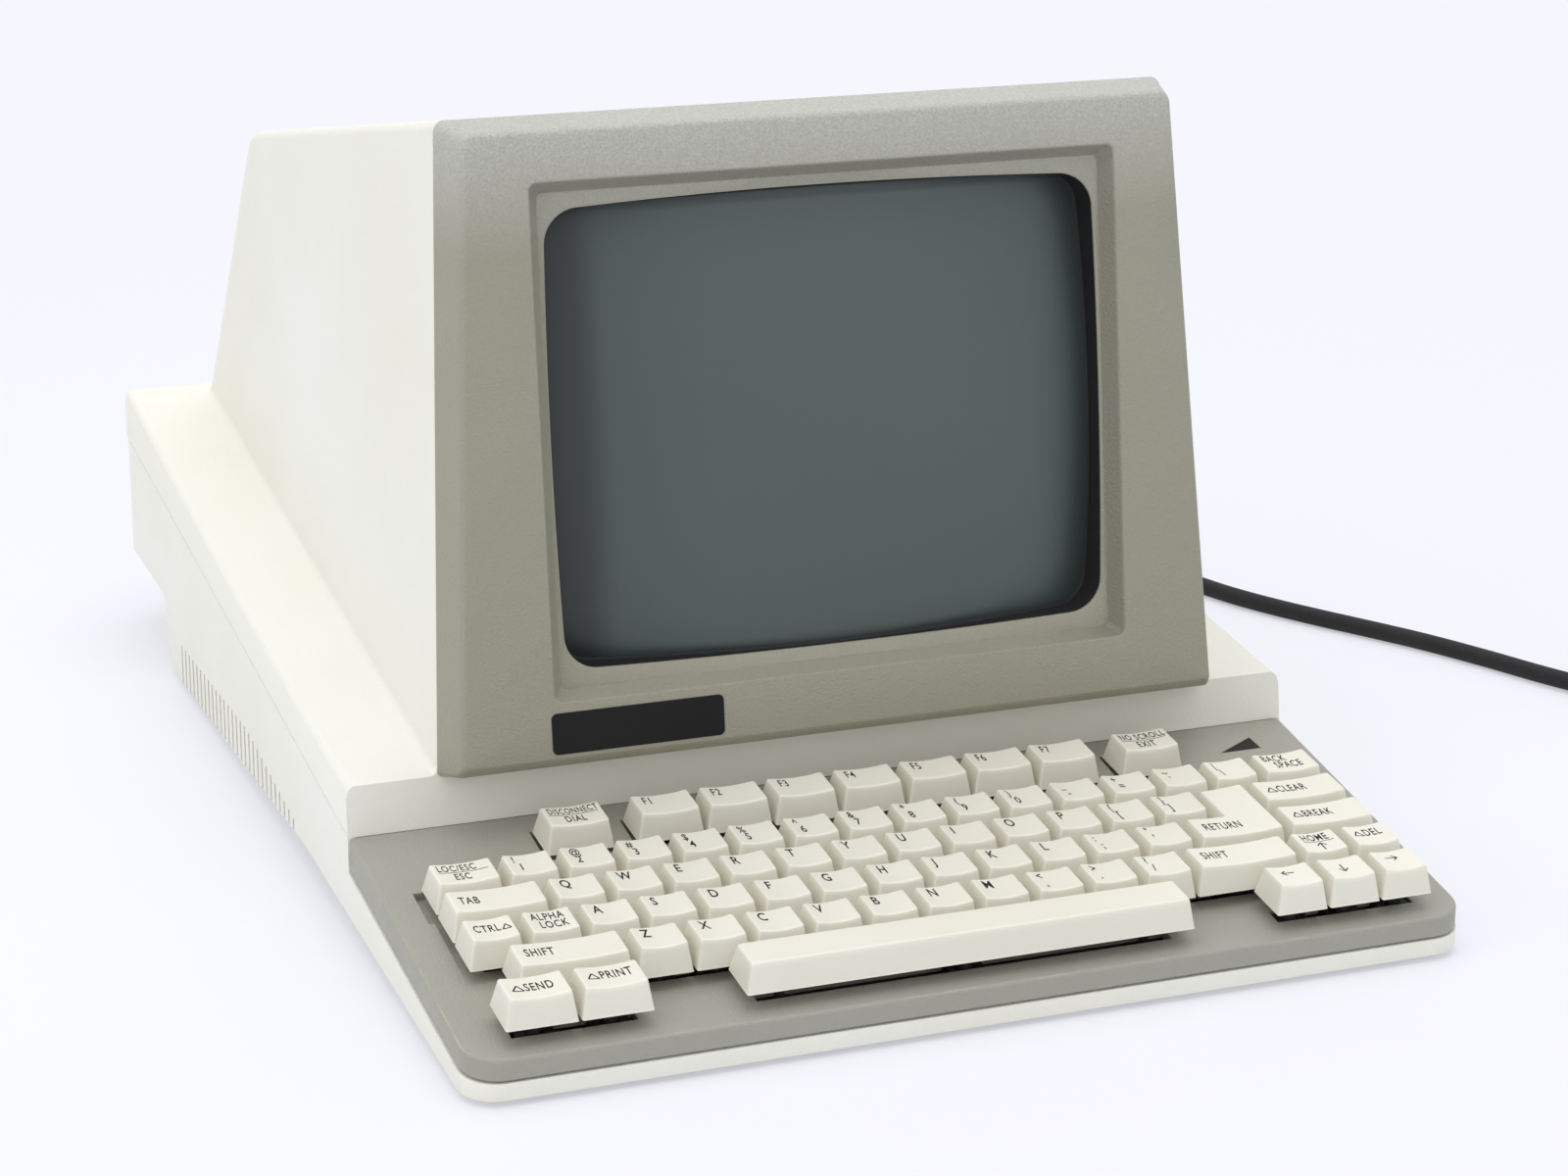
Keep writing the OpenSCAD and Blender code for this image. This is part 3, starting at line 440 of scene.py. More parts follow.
def grouped(tree, group, inputs):
    """Outputs of a node group that is placed in a material with its own values."""
    return node(tree, "ShaderNodeGroup", inputs, node_tree=group).outputs


def new_finish(name):
    """Fresh material, its node tree, its shader and its Object coordinates."""
    mat = bpy.data.materials.new(name)
    mat.use_nodes = True
    t = mat.node_tree
    return mat, t, t.nodes["Principled BSDF"], node(t, "ShaderNodeTexCoord").outputs["Object"]


def moulded(name, tone, aged, amount, rough, grain, depth, fleck=None, worn=None, reach=0.5, specular=0.4,
            painted_sheen=None, painted_shade=None):
    """Moulded or painted plastic with drifting tone, grain, marks and worn rims. It may have flecks, a painted
    sheen over the top heights that the grain breaks up, and painted shade where the rim attribute is below
    nought."""
    if name in bpy.data.materials:
        return bpy.data.materials[name]
    mat, t, bsdf, where = new_finish(name)
    skin = grouped(t, moulded_grain(), {"Vector": where, "Scale": grain})
    age = grouped(t, age_tone(), {"Vector": where, "Color": tone, "Aged": aged, "Amount": amount})
    colour = age["Color"]
    if fleck:
        colour = mix(t, maths(t, "MULTIPLY", skin["Fleck"], 0.3), colour, fleck)
    # Painted sheen: the colour turns lighter over the top heights, broken up by the grain.
    if painted_sheen:
        height = node(t, "ShaderNodeSeparateXYZ", {"Vector": where}).outputs["Z"]
        sheen_share = maths(t, "MULTIPLY", ramp(t, height, 0.222, 0.262), skin["Height"])
        colour = mix(t, maths(t, "MULTIPLY", sheen_share, 0.7), colour, painted_sheen)
    if worn:
        rim = node(t, "ShaderNodeAttribute", attribute_name="rim").outputs["Fac"]
        wear = grouped(t, edge_rub(), {"Vector": where, "Rim": rim, "Reach": reach})
        colour = mix(t, wear["Wear"], colour, worn)
        # Painted shade: where the rim attribute is below nought the colour turns toward the shade colour.
        if painted_shade:
            colour = mix(t, maths(t, "MULTIPLY", rim, -1.0), colour, painted_shade)
    bump = node(t, "ShaderNodeBump", {"Height": skin["Height"], "Strength": depth, "Distance": 0.0004})
    wire(t, bsdf, {"Base Color": colour, "Roughness": ramp(t, age["Marks"], least=rough, most=rough - 0.12),
                   "Normal": bump.outputs["Normal"], "Specular IOR Level": specular})
    return mat


def casing_finish():
    c = colours()
    return moulded("cream_casing", c.casing, srgb(233, 229, 212), 0.6, 0.52, 1500.0, 0.22,
                   fleck=srgb(226, 222, 206), worn=srgb(244, 243, 237), reach=0.35)


def bezel_finish():
    c = colours()
    # The light top colour is a painted sheen on the bezel's top band, and the dark colour is painted shade on
    # the sunk frame's slope.
    return moulded("grey_bezel", c.bezel, srgb(149, 146, 129), 0.5, 0.46, 1150.0, 0.6,
                   worn=srgb(172, 169, 156), reach=0.5, specular=0.5, painted_sheen=srgb(204, 204, 199),
                   painted_shade=srgb(112, 107, 95))


def panel_finish():
    return moulded("grey_panel", srgb(162, 160, 149), srgb(154, 151, 138), 0.5, 0.48, 1150.0, 0.5,
                   worn=srgb(180, 177, 166), reach=0.5, specular=0.5)


def cap_finish():
    c = colours()
    # The dark colour is painted shade on the caps' lower sides, and the tone of the dark stems.
    return moulded("ivory_caps", c.caps, srgb(235, 231, 212), 0.5, 0.4, 2600.0, 0.1,
                   worn=srgb(245, 243, 234), reach=0.3, specular=0.5, painted_shade=srgb(40, 40, 40))


def black_finish():
    return moulded("black_moulding", srgb(25, 25, 27), srgb(33, 33, 33), 0.6, 0.42, 2200.0, 0.12,
                   specular=0.15)


def rubber_finish():
    return moulded("black_rubber", colours().lead, srgb(44, 43, 42), 0.6, 0.62, 1800.0, 0.25, specular=0.3)


def board_finish():
    return moulded("green_board", srgb(34, 92, 58), srgb(26, 70, 48), 0.7, 0.35, 700.0, 0.2)


def ink_finish():
    """Printed ink with a slightly uneven edge of tone."""
    return moulded("legend_ink", colours().ink, srgb(48, 47, 44), 0.5, 0.55, 2600.0, 0.1, specular=0.15)


def metal_finish(name, tone, aged, rough):
    """Plated or varnished metal with drifting tone and rolled streaks."""
    if name in bpy.data.materials:
        return bpy.data.materials[name]
    mat, t, bsdf, where = new_finish(name)
    age = grouped(t, age_tone(), {"Vector": where, "Color": tone, "Aged": aged, "Amount": 0.6})
    stretch = node(t, "ShaderNodeMapping", {"Vector": where, "Scale": (8.0, 400.0, 400.0)})
    streak = noise(t, stretch.outputs["Vector"], 3.0, 3.0)
    gloss = ramp(t, streak, least=rough - 0.08, most=rough + 0.1)
    wire(t, bsdf, {"Base Color": age["Color"], "Roughness": gloss, "Metallic": 0.9})
    return mat


def glass_finish():
    """Unlit picture tube: grey phosphor behind tinted glass, with painted shadow of the bezel near its edge."""
    name = "tube_glass"
    if name in bpy.data.materials:
        return bpy.data.materials[name]
    mat, t, bsdf, where = new_finish(name)
    # painted shadow of the bezel, held in the glass's rim attribute
    edge = node(t, "ShaderNodeAttribute", attribute_name="rim").outputs["Fac"]
    drift = maths(t, "MULTIPLY", noise(t, where, 11.0, 3.0), 0.5)
    tone = mix(t, drift, colours().glass, srgb(68, 78, 77))
    film = noise(t, where, 60.0, 6.0, 0.65)
    wire(t, bsdf, {"Base Color": mix(t, edge, tone, srgb(30, 35, 35)),
                   "Roughness": ramp(t, film, least=0.36, most=0.48),
                   "Coat Weight": 0.15, "Coat Roughness": 0.3, "Specular IOR Level": 0.5})
    return mat


# Cord route, as in the part's own route


def smooth_line(points, per=8):
    """Cubic through the points: each span is a Hermite curve whose end slopes are half the chord between the
    neighbouring points."""
    p = np.asarray(points, float)
    ext = np.concatenate([2 * p[:1] - p[1:2], p, 2 * p[-1:] - p[-2:-1]])
    m = (ext[2:] - ext[:-2]) / 2
    u = np.linspace(0, 1, per, endpoint=False)[None, :, None]
    a, b, ma, mb = p[:-1, None], p[1:, None], m[:-1, None], m[1:, None]
    curve = ((2 * u**3 - 3 * u**2 + 1) * a + (u**3 - 2 * u**2 + u) * ma + (-2 * u**3 + 3 * u**2) * b
             + (u**3 - u**2) * mb)
    return np.concatenate([curve.reshape(-1, 3), p[-1:]])


COIL_AT = np.array([402.0, -55.0])
HEADING = math.radians(-63)
COIL_TURNS, COIL_R, COIL_PITCH, COIL_Z = 5, 39.0, 7.6, 4.4


def cord_route():
    """Free stretch to the coil, its turns in two layers, and the tail to the plug, in frame millimetres."""
    half = COIL_TURNS / 2
    r_in, r_out = COIL_R - COIL_PITCH * half / 2, COIL_R + COIL_PITCH * half / 2
    a0 = HEADING - math.pi / 2
    ahead = np.array([math.cos(HEADING), math.sin(HEADING), 0.0])
    entry = np.array([COIL_AT[0] + r_out * math.cos(a0), COIL_AT[1] + r_out * math.sin(a0), COIL_Z])
    free = [
        (120, 279.3, 50), (120, 288, 49.8), (120.5, 300, 48), (125, 316, 43), (135, 329, 36), (150, 336, 28),
        (166, 335, 20), (180, 327, 13), (190, 314, 8), (198, 298, 5), (205, 280, 4), (213, 258, 3.8),
        (221, 234, 3.7), (229, 208, 3.7), (236, 182, 3.7), (243, 156, 3.7), (250, 132, 3.7), (258, 110, 3.7),
        (268, 90, 3.7), (280, 70, 3.7), (293, 50, 3.7), (306, 29, 3.7), (319, 4, 3.7), (331, -22, 3.8),
        (343, -46, 4.2), tuple(entry - 7.0 * ahead),
    ]
    a = np.radians(np.arange(0, COIL_TURNS * 360 + 1, 7.5))
    mid = COIL_TURNS * math.pi
    r = r_in + COIL_PITCH * np.abs(a - mid) / (2 * math.pi)
    u = np.clip((a - mid + math.pi / 2) / math.pi, 0, 1)
    climb = u * u * (3 - 2 * u)
    coil = np.stack([COIL_AT[0] + r * np.cos(a0 + a), COIL_AT[1] + r * np.sin(a0 + a),
                     COIL_Z + COIL_PITCH * climb], -1)
    out = coil[-1] + ahead * np.linspace(0, 36, 7)[1:, None]
    return np.concatenate([smooth_line(free)[:-1], smooth_line([free[-1], tuple(entry)], 3)[:-1], coil, out])


def swept_tube(path, radius, sides=20):
    """Circle carried along a path, square to it and level across it."""
    d = np.gradient(path, axis=0)
    d /= np.linalg.norm(d, axis=1, keepdims=True)
    side = np.cross(d, [0.0, 0.0, 1.0])
    side /= np.linalg.norm(side, axis=1, keepdims=True)
    up = np.cross(side, d)
    a = np.linspace(0, 2 * np.pi, sides, endpoint=False)
    spokes = np.cos(a)[None, :, None] * side[:, None] + np.sin(a)[None, :, None] * up[:, None]
    return path[:, None] + radius * spokes


# Stage: lamps have a name, a place and an aim in metres, a size in metres and watts


BACKDROP = srgb(246, 247, 254)
LAMPS = (
    ("lamp_key", (-1.9, -0.8, 1.5), (0.0, 0.0, 0.1), 1.8, 9.5),
    ("lamp_fill", (0.9, -2.0, 0.9), (0.0, -0.1, 0.05), 1.6, 1.0),
    ("lamp_top", (0.0, 0.1, 2.2), (0.0, 0.0, 0.0), 2.2, 17.0),
)


def seen_plainly(tree):
    """One for rays from the camera, a reflection or through glass, so that the backdrop shows plain."""
    ray = node(tree, "ShaderNodeLightPath").outputs
    direct = maths(tree, "MAXIMUM", ray["Is Camera Ray"], ray["Is Glossy Ray"])
    return maths(tree, "MAXIMUM", direct, ray["Is Transmission Ray"])


class TERMINAL_OT_stage(bpy.types.Operator):
    """Floor, backdrop, lamps and the camera at the photo's angle"""

    bl_idname = "terminal.stage"
    bl_label = "Stage"

    def execute(self, context):
        context.scene.view_settings.view_transform = "Standard"
        self.camera(context.scene)
        self.floor(context.scene)
        self.sky(context.scene)
        self.lamps(context.scene)
        return {"FINISHED"}

    def camera(self, scene):
        cam = bpy.data.cameras.new("camera")
        cam.sensor_width = SENSOR
        cam.sensor_fit = "HORIZONTAL"
        cam.lens = FOCAL * SENSOR
        cam.shift_x = CAMERA_SHIFT
        cam.clip_start, cam.clip_end = 0.05, 60.0
        obj = bpy.data.objects.new("camera", cam)
        scene.collection.objects.link(obj)
        pose = np.eye(4)
        pose[:3, 0], pose[:3, 1], pose[:3, 2] = CAMERA_RIGHT, -CAMERA_DOWN, -CAMERA_AHEAD
        pose[:3, 3] = CAMERA_AT * MM
        obj.matrix_world = Matrix(pose.tolist())
        scene.camera = obj

    def floor(self, scene):
        """Floor that curves up into a far backdrop: level for a share of its length, then a quarter round."""
        reach, far, radius, level = 6.0, 5.0, 2.0, 0.6
        x, u = np.linspace(-reach, reach, 25), np.linspace(0, 1, 60)
        turn = (u - level) / (1 - level) * np.pi / 2
        y = np.where(u < level, -reach + (reach + far) * u / level, far + radius * np.sin(turn))
        z = np.where(u < level, 0.0, radius - radius * np.cos(turn))
        grid = np.stack(np.broadcast_arrays(x[None, :], y[:, None], z[:, None]), -1).reshape(-1, 3)
        ids = np.arange(len(u) * len(x)).reshape(len(u), len(x))
        mesh = bpy.data.meshes.new("stage_floor")
        mesh.from_pydata(grid.tolist(), [], quads_of(ids).reshape(-1, 4).tolist())
        mesh.shade_smooth()
        mesh.materials.append(self.floor_finish())
        obj = bpy.data.objects.new("stage_floor", mesh)
        scene.collection.objects.link(obj)

    def floor_finish(self):
        """Matt pale floor that passes into the plain backdrop away from the object."""
        mat, t, bsdf, where = new_finish("stage_floor")
        tone = mix(t, noise(t, where, 3.0, 2.0), srgb(236, 237, 241), srgb(240, 241, 245))
        wire(t, bsdf, {"Base Color": tone, "Roughness": 0.75, "Specular IOR Level": 0.2})
        glow = node(t, "ShaderNodeEmission", {"Color": BACKDROP})
        away = node(t, "ShaderNodeVectorMath", {0: where}, operation="LENGTH").outputs["Value"]
        share = maths(t, "MULTIPLY", ramp(t, away, 0.3, 1.0, 0.45), seen_plainly(t))
        both = node(t, "ShaderNodeMixShader", {0: share, 1: bsdf.outputs[0], 2: glow.outputs[0]})
        wire(t, t.nodes["Material Output"], {"Surface": both.outputs[0]})
        return mat

    def sky(self, scene):
        """World light that falls more from overhead than from the horizon, as in a light tent."""
        world = bpy.data.worlds.new("studio")
        scene.world = world
        world.use_nodes = True
        t = world.node_tree
        seen = seen_plainly(t)
        way = node(t, "ShaderNodeTexCoord").outputs["Generated"]
        up = node(t, "ShaderNodeSeparateXYZ", {"Vector": way}).outputs["Z"]
        tent = ramp(t, up, 0.0, 0.9, 0.53, 0.96)
        strength = node(t, "ShaderNodeMix", {0: seen, 2: tent, 3: 1.0}, data_type="FLOAT")
        wire(t, t.nodes["Background"], {"Color": mix(t, seen, (0.95, 0.965, 1.0, 1.0), BACKDROP),
                                        "Strength": strength.outputs[0]})

    def lamps(self, scene):
        for name, at, aim, size, watts in LAMPS:
            lamp = bpy.data.lights.new(name, "AREA")
            lamp.size = size
            lamp.energy = watts
            obj = bpy.data.objects.new(name, lamp)
            obj.location = at
            obj.rotation_euler = (Vector(aim) - Vector(at)).to_track_quat("-Z", "Y").to_euler()
            scene.collection.objects.link(obj)


def dress(name, material, bevel=0.0):
    """Gives a CAD node its finish, and soft edges where asked: its triangles are welded, then bevelled."""
    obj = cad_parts[name]
    obj.data.materials.clear()
    obj.data.materials.append(material)
    if bevel:
        weld = obj.modifiers.new("weld", "WELD")
        weld.merge_threshold = 0.00002
        soft = obj.modifiers.new("soft_edges", "BEVEL")
        soft.width = bevel * MM
        soft.segments = 2
        soft.limit_method = "ANGLE"
        soft.angle_limit = math.radians(40)


class TERMINAL_OT_lead(bpy.types.Operator):
    """Mains lead: the free stretch, its stored coil, and finishes of the plug, tie and strain relief"""

    bl_idname = "terminal.lead"
    bl_label = "Mains lead"

    def execute(self, context):
        path = cord_route()
        diameter = sizes().cord_d
        lip = np.array([0.0, Y_MID, 0.0])
        grid = swept_tube(path, diameter / 2) + lip
        shell = Shell()
        shell.sheet(grid, closed=True, flip=True)
        shell.fan(grid[0], path[0] + lip)
        shell.fan(grid[-1], path[-1] + lip, flip=True)
        cord = shell.build("mains_lead", rubber_finish())
        settle(cord, "casing", "rubber", "power_cord", "cord_coil")
        for name in ("strain_relief", "mains_plug"):
            dress(name, rubber_finish())
        dress("cord_tie", black_finish())
        return {"FINISHED"}


# Keyboard


def dish_depth(x, left, width):
    """Depth of the finger hollow at x: a parabola that is deepest midway between the cap's sides."""
    half = width / 2 - CAP_GAP - TOP_IN[1]
    return sizes().cap_dish * np.clip(1 - ((x - left - width / 2) / half) ** 2, 0, 1)


def cap(shell, corners, kernel, hollow, stems, tops=TOP_IN):
    """Key cap: outlines drawn in steadily from the skirt to the top, a quarter round, then rings that shrink to
    the kernel point under the finger hollow. hollow(x) is the depth taken off the top. Each stem is a dark
    tube."""
    r, steps = sizes().cap_fillet, 6
    low = CAP_TOP - CAP_H
    rings = Rings()

    def ring(share, extra, w, rim, radius):
        line = outline(inset(corners, CAP_GAP + np.asarray(tops) * share + extra), radius, 5, 9)
        rings.add(line, w - hollow(line[:, 0]) * min(1.0, max(0.0, (share - 0.5) * 2)), rim)

    ring(0.0, 0.9, low + 0.4, 0.0, 0.5)
    ring(0.0, 0.0, low, 0.25, 0.7)
    # the lower sides carry a little painted shade, by a rim below nought
    for share in (0.06, 0.5, 0.8):
        ring(share, 0.0, low + CAP_H * share, -0.07, 0.8)
    for i, (ins, up) in enumerate(zip(*fillet(steps))):
        w = CAP_TOP - r + r * up
        ring(min(1.0, (w - low) / CAP_H), r * ins * 0.9, w, 1.0 if 1 <= i <= steps - 2 else 0.0, 0.9)
    last = rings.lines[-1]
    for share in (0.9, 0.75, 0.55, 0.35, 0.15):
        line = kernel + (last - kernel) * share
        rings.add(line, CAP_TOP - hollow(line[:, 0]))
    grid = rings.lay(shell, key_point)
    shell.fan(grid[-1], key_point(*kernel, CAP_TOP - float(hollow(kernel[0]))))
    shell.fan(grid[0], key_point(*kernel, low + 0.4), flip=True)
    a = np.linspace(0, 2 * np.pi, 16, endpoint=False)
    for x, v, d, bottom in stems:
        w = np.array([bottom, low + 0.6])[:, None]
        tube = key_point(x + d / 2 * np.cos(a), v + d / 2 * np.sin(a), w)
        shell.sheet(tube, closed=True, rim=np.full(tube.shape[:2], -1.0))
        shell.fan(tube[0], key_point(x, v, bottom), flip=True)


def plain_key(shell, left, width, row):
    """Key cap on a cell of the given place and width in key pitches, with one stem at its middle."""
    x0, x1 = KEY_X0 + left * PITCH, KEY_X0 + (left + width) * PITCH
    v0, v1 = row_v(row), row_v(row) + PITCH
    mid = np.array([(x0 + x1) / 2, (v0 + v1) / 2])
    cap(shell, [(x0, v0), (x1, v0), (x1, v1), (x0, v1)], mid, lambda x: dish_depth(x, x0, x1 - x0),
        [(*mid, STEM_D, STEM_LOW)])


# Place, width and row of every plain key, in key pitches


KEY_CELLS = {
    "number_keys": [(1.25 + i, 1, 1) for i in range(14)],
    "upper_keys": [(1.75 + i, 1, 2) for i in range(12)],
    "home_keys": [(2 + i, 1, 3) for i in range(11)],
    "lower_keys": [(2.5 + i, 1, 4) for i in range(10)],
    "function_keys": [(4 + 1.25 * i, 1.25, F_ROW) for i in range(7)],
    "key_dial": [(2.37, 1.25, F_ROW)],
    "key_no_scroll": [(13.15, 1.25, F_ROW)],
    "key_esc": [(0, 1.25, 1)],
    "key_backspace": [(15.25, 1.25, 1)],
    "key_tab": [(0, 1.75, 2)],
    "key_clear": [(14.75, 1.75, 2)],
    "key_ctrl": [(0, 1, 3)],
    "key_alpha_lock": [(1, 1, 3)],
    "key_break": [(14.75, 1.75, 3)],
    "key_shift_left": [(0.5, 2, 4)],
    "key_shift_right": [(12.5, 2, 4)],
    "key_home": [(14.5, 1, 4)],
    "key_del": [(15.5, 1, 4)],
    "key_send": [(0, 1.25, 5)],
    "key_print": [(1.25, 1.25, 5)],
    "key_left": [(13.5, 1, 5)],
    "key_down": [(14.5, 1, 5)],
    "key_right": [(15.5, 1, 5)],
}


class TERMINAL_OT_caps(bpy.types.Operator):
    """Key caps with their finger hollows and stems, one piece for each moving key or key row"""

    bl_idname = "terminal.caps"
    bl_label = "Key caps"

    def execute(self, context):
        for name, cells in KEY_CELLS.items():
            shell = Shell()
            for cell in cells:
                plain_key(shell, *cell)
            self.finish(shell, name)
        self.return_key()
        self.space_bar()
        return {"FINISHED"}

    def return_key(self):
        """Return key: six corners, narrower at the back, and a stem in each of its two rows."""
        shell = Shell()
        x0, v0 = KEY_X0 + 13 * PITCH, row_v(3)
        x1, xm = x0 + 1.75 * PITCH, x0 + 0.75 * PITCH
        v1, v2 = v0 + PITCH, v0 + 2 * PITCH
        stems = [(x0 + 0.875 * PITCH, v0 + PITCH / 2, STEM_D, STEM_LOW),
                 (x0 + 1.25 * PITCH, v1 + PITCH / 2, STEM_D, STEM_LOW)]
        cap(shell, [(x0, v0), (x1, v0), (x1, v2), (xm, v2), (xm, v1), (x0, v1)],
            np.array([xm + 0.5 * PITCH, v0 + 0.5 * PITCH]), lambda x: dish_depth(x, x0, x1 - x0), stems,
            tops=TOP_IN + TOP_IN[2:])
        self.finish(shell, "key_return")

    def space_bar(self):
        """Space bar: a flat-topped cap with one stem and a guide at each end."""
        shell = Shell()
        x0, v0 = KEY_X0 + 4 * PITCH, row_v(5)
        x1, v1 = x0 + 8 * PITCH, v0 + PITCH
        mid, v = (x0 + x1) / 2, (v0 + v1) / 2
        stems = [(mid, v, STEM_D, STEM_LOW)] + [(mid + s * GUIDE_X, v, GUIDE_D, GUIDE_LOW) for s in (-1, 1)]
        cap(shell, [(x0, v0), (x1, v0), (x1, v1), (x0, v1)], np.array([mid, v]), np.zeros_like, stems)
        self.finish(shell, "key_space")

    def finish(self, shell, name):
        settle(shell.build(name + "_caps", cap_finish(), 50.0), name, "caps", name)


# Printed legends: text, height, and place from the cap top's left and back edges, in millimetres


def pair(top, low):
    return [(top, 4.2, 2.2, 5.4), (low, 4.4, 3.3, 10.4)]


def letter(c):
    return [(c, 4.9, 2.6, 6.3)]


def over_under(top, low, width):
    """Small word over a rule over another word."""
    return [(top, 3.9, 1.5, 5.2), ("rule", width, 1.4, 6.1), (low, 4.0, width * 0.36, 11.0)]


LEGENDS = {
    "number_keys": [pair(*p) for p in zip("!@#$%^&*()_+~|", "1234567890-=`\\")],
    "upper_keys": [letter(c) for c in "QWERTYUIOP"] + [pair("{", "["), pair("}", "]")],
    "home_keys": [letter(c) for c in "ASDFGHJKL"] + [pair(":", ";"), pair('"', "'")],
    "lower_keys": [letter(c) for c in "ZXCVBNM"] + [pair("<", ","), pair(">", "."), pair("?", "/")],
    "function_keys": [[("F%d" % i, 4.6, 2.8, 6.2)] for i in range(1, 8)],
    "key_dial": [over_under("DISCONNECT", "DIAL", 16.6)],
    "key_no_scroll": [over_under("NO SCROLL", "EXIT", 16.6)],
    "key_esc": [over_under("LOC/ESC", "ESC", 16.4)],
    "key_backspace": [[("BACK", 4.3, 2.0, 5.4), ("SPACE", 4.3, 5.0, 10.4)]],
    "key_tab": [[("TAB", 4.4, 2.6, 8.6)]],
    "key_clear": [[("delta", 3.6, 2.6, 8.0), ("CLEAR", 4.4, 6.6, 8.2)]],
    "key_ctrl": [[("CTRL", 4.3, 1.8, 8.2), ("delta", 3.2, 10.8, 8.0)]],
    "key_alpha_lock": [[("ALPHA", 4.2, 1.6, 5.6), ("LOCK", 4.2, 3.2, 10.8)]],
    "key_break": [[("delta", 3.6, 2.6, 8.0), ("BREAK", 4.4, 6.6, 8.2)]],
    "key_shift_left": [[("SHIFT", 4.5, 2.8, 8.2)]],
    "key_shift_right": [[("SHIFT", 4.5, 2.8, 8.2)]],
    "key_home": [[("HOME", 4.2, 2.2, 5.6), ("rule", 11.0, 2.0, 6.5), ("up", 4.6, 7.4, 12.0)]],
    "key_del": [[("delta", 3.4, 1.8, 7.0), ("DEL", 4.4, 5.6, 7.2)]],
    "key_send": [[("delta", 3.6, 2.4, 8.4), ("SEND", 4.5, 6.4, 8.6)]],
    "key_print": [[("delta", 3.6, 2.4, 7.6), ("PRINT", 4.5, 6.4, 7.8)]],
    "key_left": [[("left", 4.4, 4.0, 6.0)]],
    "key_down": [[("down", 4.6, 6.4, 8.6)]],
    "key_right": [[("right", 4.4, 3.8, 6.0)]],
    "key_return": [[("RETURN", 4.5, 3.0, 8.6)]],
}

STROKES = {
    "delta": [((0.0, 0.0), (1.0, 0.0)), ((1.0, 0.0), (0.5, 0.9)), ((0.5, 0.9), (0.0, 0.0))],
    "up": [((0.0, 0.0), (0.0, 1.0)), ((-0.35, 0.62), (0.0, 1.0)), ((0.35, 0.62), (0.0, 1.0))],
    "down": [((0.0, 0.0), (0.0, 1.0)), ((-0.35, 0.38), (0.0, 0.0)), ((0.35, 0.38), (0.0, 0.0))],
    "left": [((0.0, 0.3), (1.0, 0.3)), ((0.38, 0.62), (0.0, 0.3)), ((0.38, -0.02), (0.0, 0.3))],
    "right": [((0.0, 0.3), (1.0, 0.3)), ((0.62, 0.62), (1.0, 0.3)), ((0.62, -0.02), (1.0, 0.3))],
    "rule": [((0.0, 0.0), (1.0, 0.0))],
}


def stroke_mesh(name, size):
    """Each stroke is a thin flat bar between its two ends, cut into short lengths."""
    pts, quads = [], []
    thick = 0.5 if name != "rule" else 0.32
    cuts = 6
    i = np.arange(cuts)
    for a, b in STROKES[name]:
        a, b = np.array(a) * size, np.array(b) * size
        d = (b - a) / np.linalg.norm(b - a)
        side = np.array([-d[1], d[0]]) * thick / 2
        line = a + (b - a) * np.linspace(0, 1, cuts + 1)[:, None]
        first = len(pts) + i
        pts += (line - side).tolist() + (line + side).tolist()
        quads += np.stack([first, first + 1, first + cuts + 2, first + cuts + 1], -1).tolist()
    return np.array(pts), quads


# Built-in type: height of its capitals at size 1, and how far single letters and words are narrowed
TYPE_CAPS = 0.7
LETTER_WIDTH, WORD_WIDTH = 0.62, 0.52


GLYPHS = {}


def text_mesh(words, size):
    """Flat mesh of a word in the built-in type, scaled so that its capitals are the given height."""
    if words not in GLYPHS:
        curve = bpy.data.curves.new("type", "FONT")
        curve.body = words
        curve.size = 1.0
        curve.space_character = 1.15
        curve.resolution_u = 4
        curve.offset = 0.014
        obj = bpy.data.objects.new("type", curve)
        bpy.context.scene.collection.objects.link(obj)
        bpy.context.view_layer.update()
        mesh = obj.evaluated_get(bpy.context.evaluated_depsgraph_get()).to_mesh()
        pts = np.empty(len(mesh.vertices) * 3)
        mesh.vertices.foreach_get("co", pts)
        faces = [list(p.vertices) for p in mesh.polygons]
        GLYPHS[words] = (pts.reshape(-1, 3)[:, :2], faces)
        bpy.data.objects.remove(obj)
        bpy.data.curves.remove(curve)
    pts, faces = GLYPHS[words]
    narrow = LETTER_WIDTH if len(words) == 1 else WORD_WIDTH
    return pts * (size / TYPE_CAPS) * np.array([narrow, 1.0]), faces


class TERMINAL_OT_legends(bpy.types.Operator):
    """Printed letters, figures and signs on the key caps"""

    bl_idname = "terminal.legends"
    bl_label = "Key legends"

    def execute(self, context):
        cells = dict(KEY_CELLS, key_return=[(13, 1.75, 3)])
        for name, keys in LEGENDS.items():
            shell = Shell()
            for cell, items in zip(cells[name], keys):
                for item in items:
                    self.print_on(shell, cell, *item)
            settle(shell.build(name + "_legends", ink_finish()), name, "black_plastic")
        return {"FINISHED"}

    def print_on(self, shell, cell, words, size, dx, dv):
        """One word or sign, squeezed where the cap is narrow and laid into the finger hollow."""
        left, width, row = cell
        x0, wide = KEY_X0 + left * PITCH, width * PITCH
        pts, faces = (stroke_mesh if words in STROKES else text_mesh)(words, size)
        room = wide - 2 * CAP_GAP - TOP_IN[1] - TOP_IN[3] - dx - 1.0
        x = x0 + CAP_GAP + TOP_IN[3] + dx + pts[:, 0] * min(1.0, room / max(pts[:, 0].max(), 0.1))
        v = row_v(row) + PITCH - CAP_GAP - TOP_IN[2] - dv + pts[:, 1]
        w = CAP_TOP + sizes().print_lift - dish_depth(x, x0, wide)
        by_size = {}
        for f in faces:
            by_size.setdefault(len(f), []).append(f)
        shell.add(key_point(x, v, w), [np.array(f) for f in by_size.values()])


# Keyboard panel


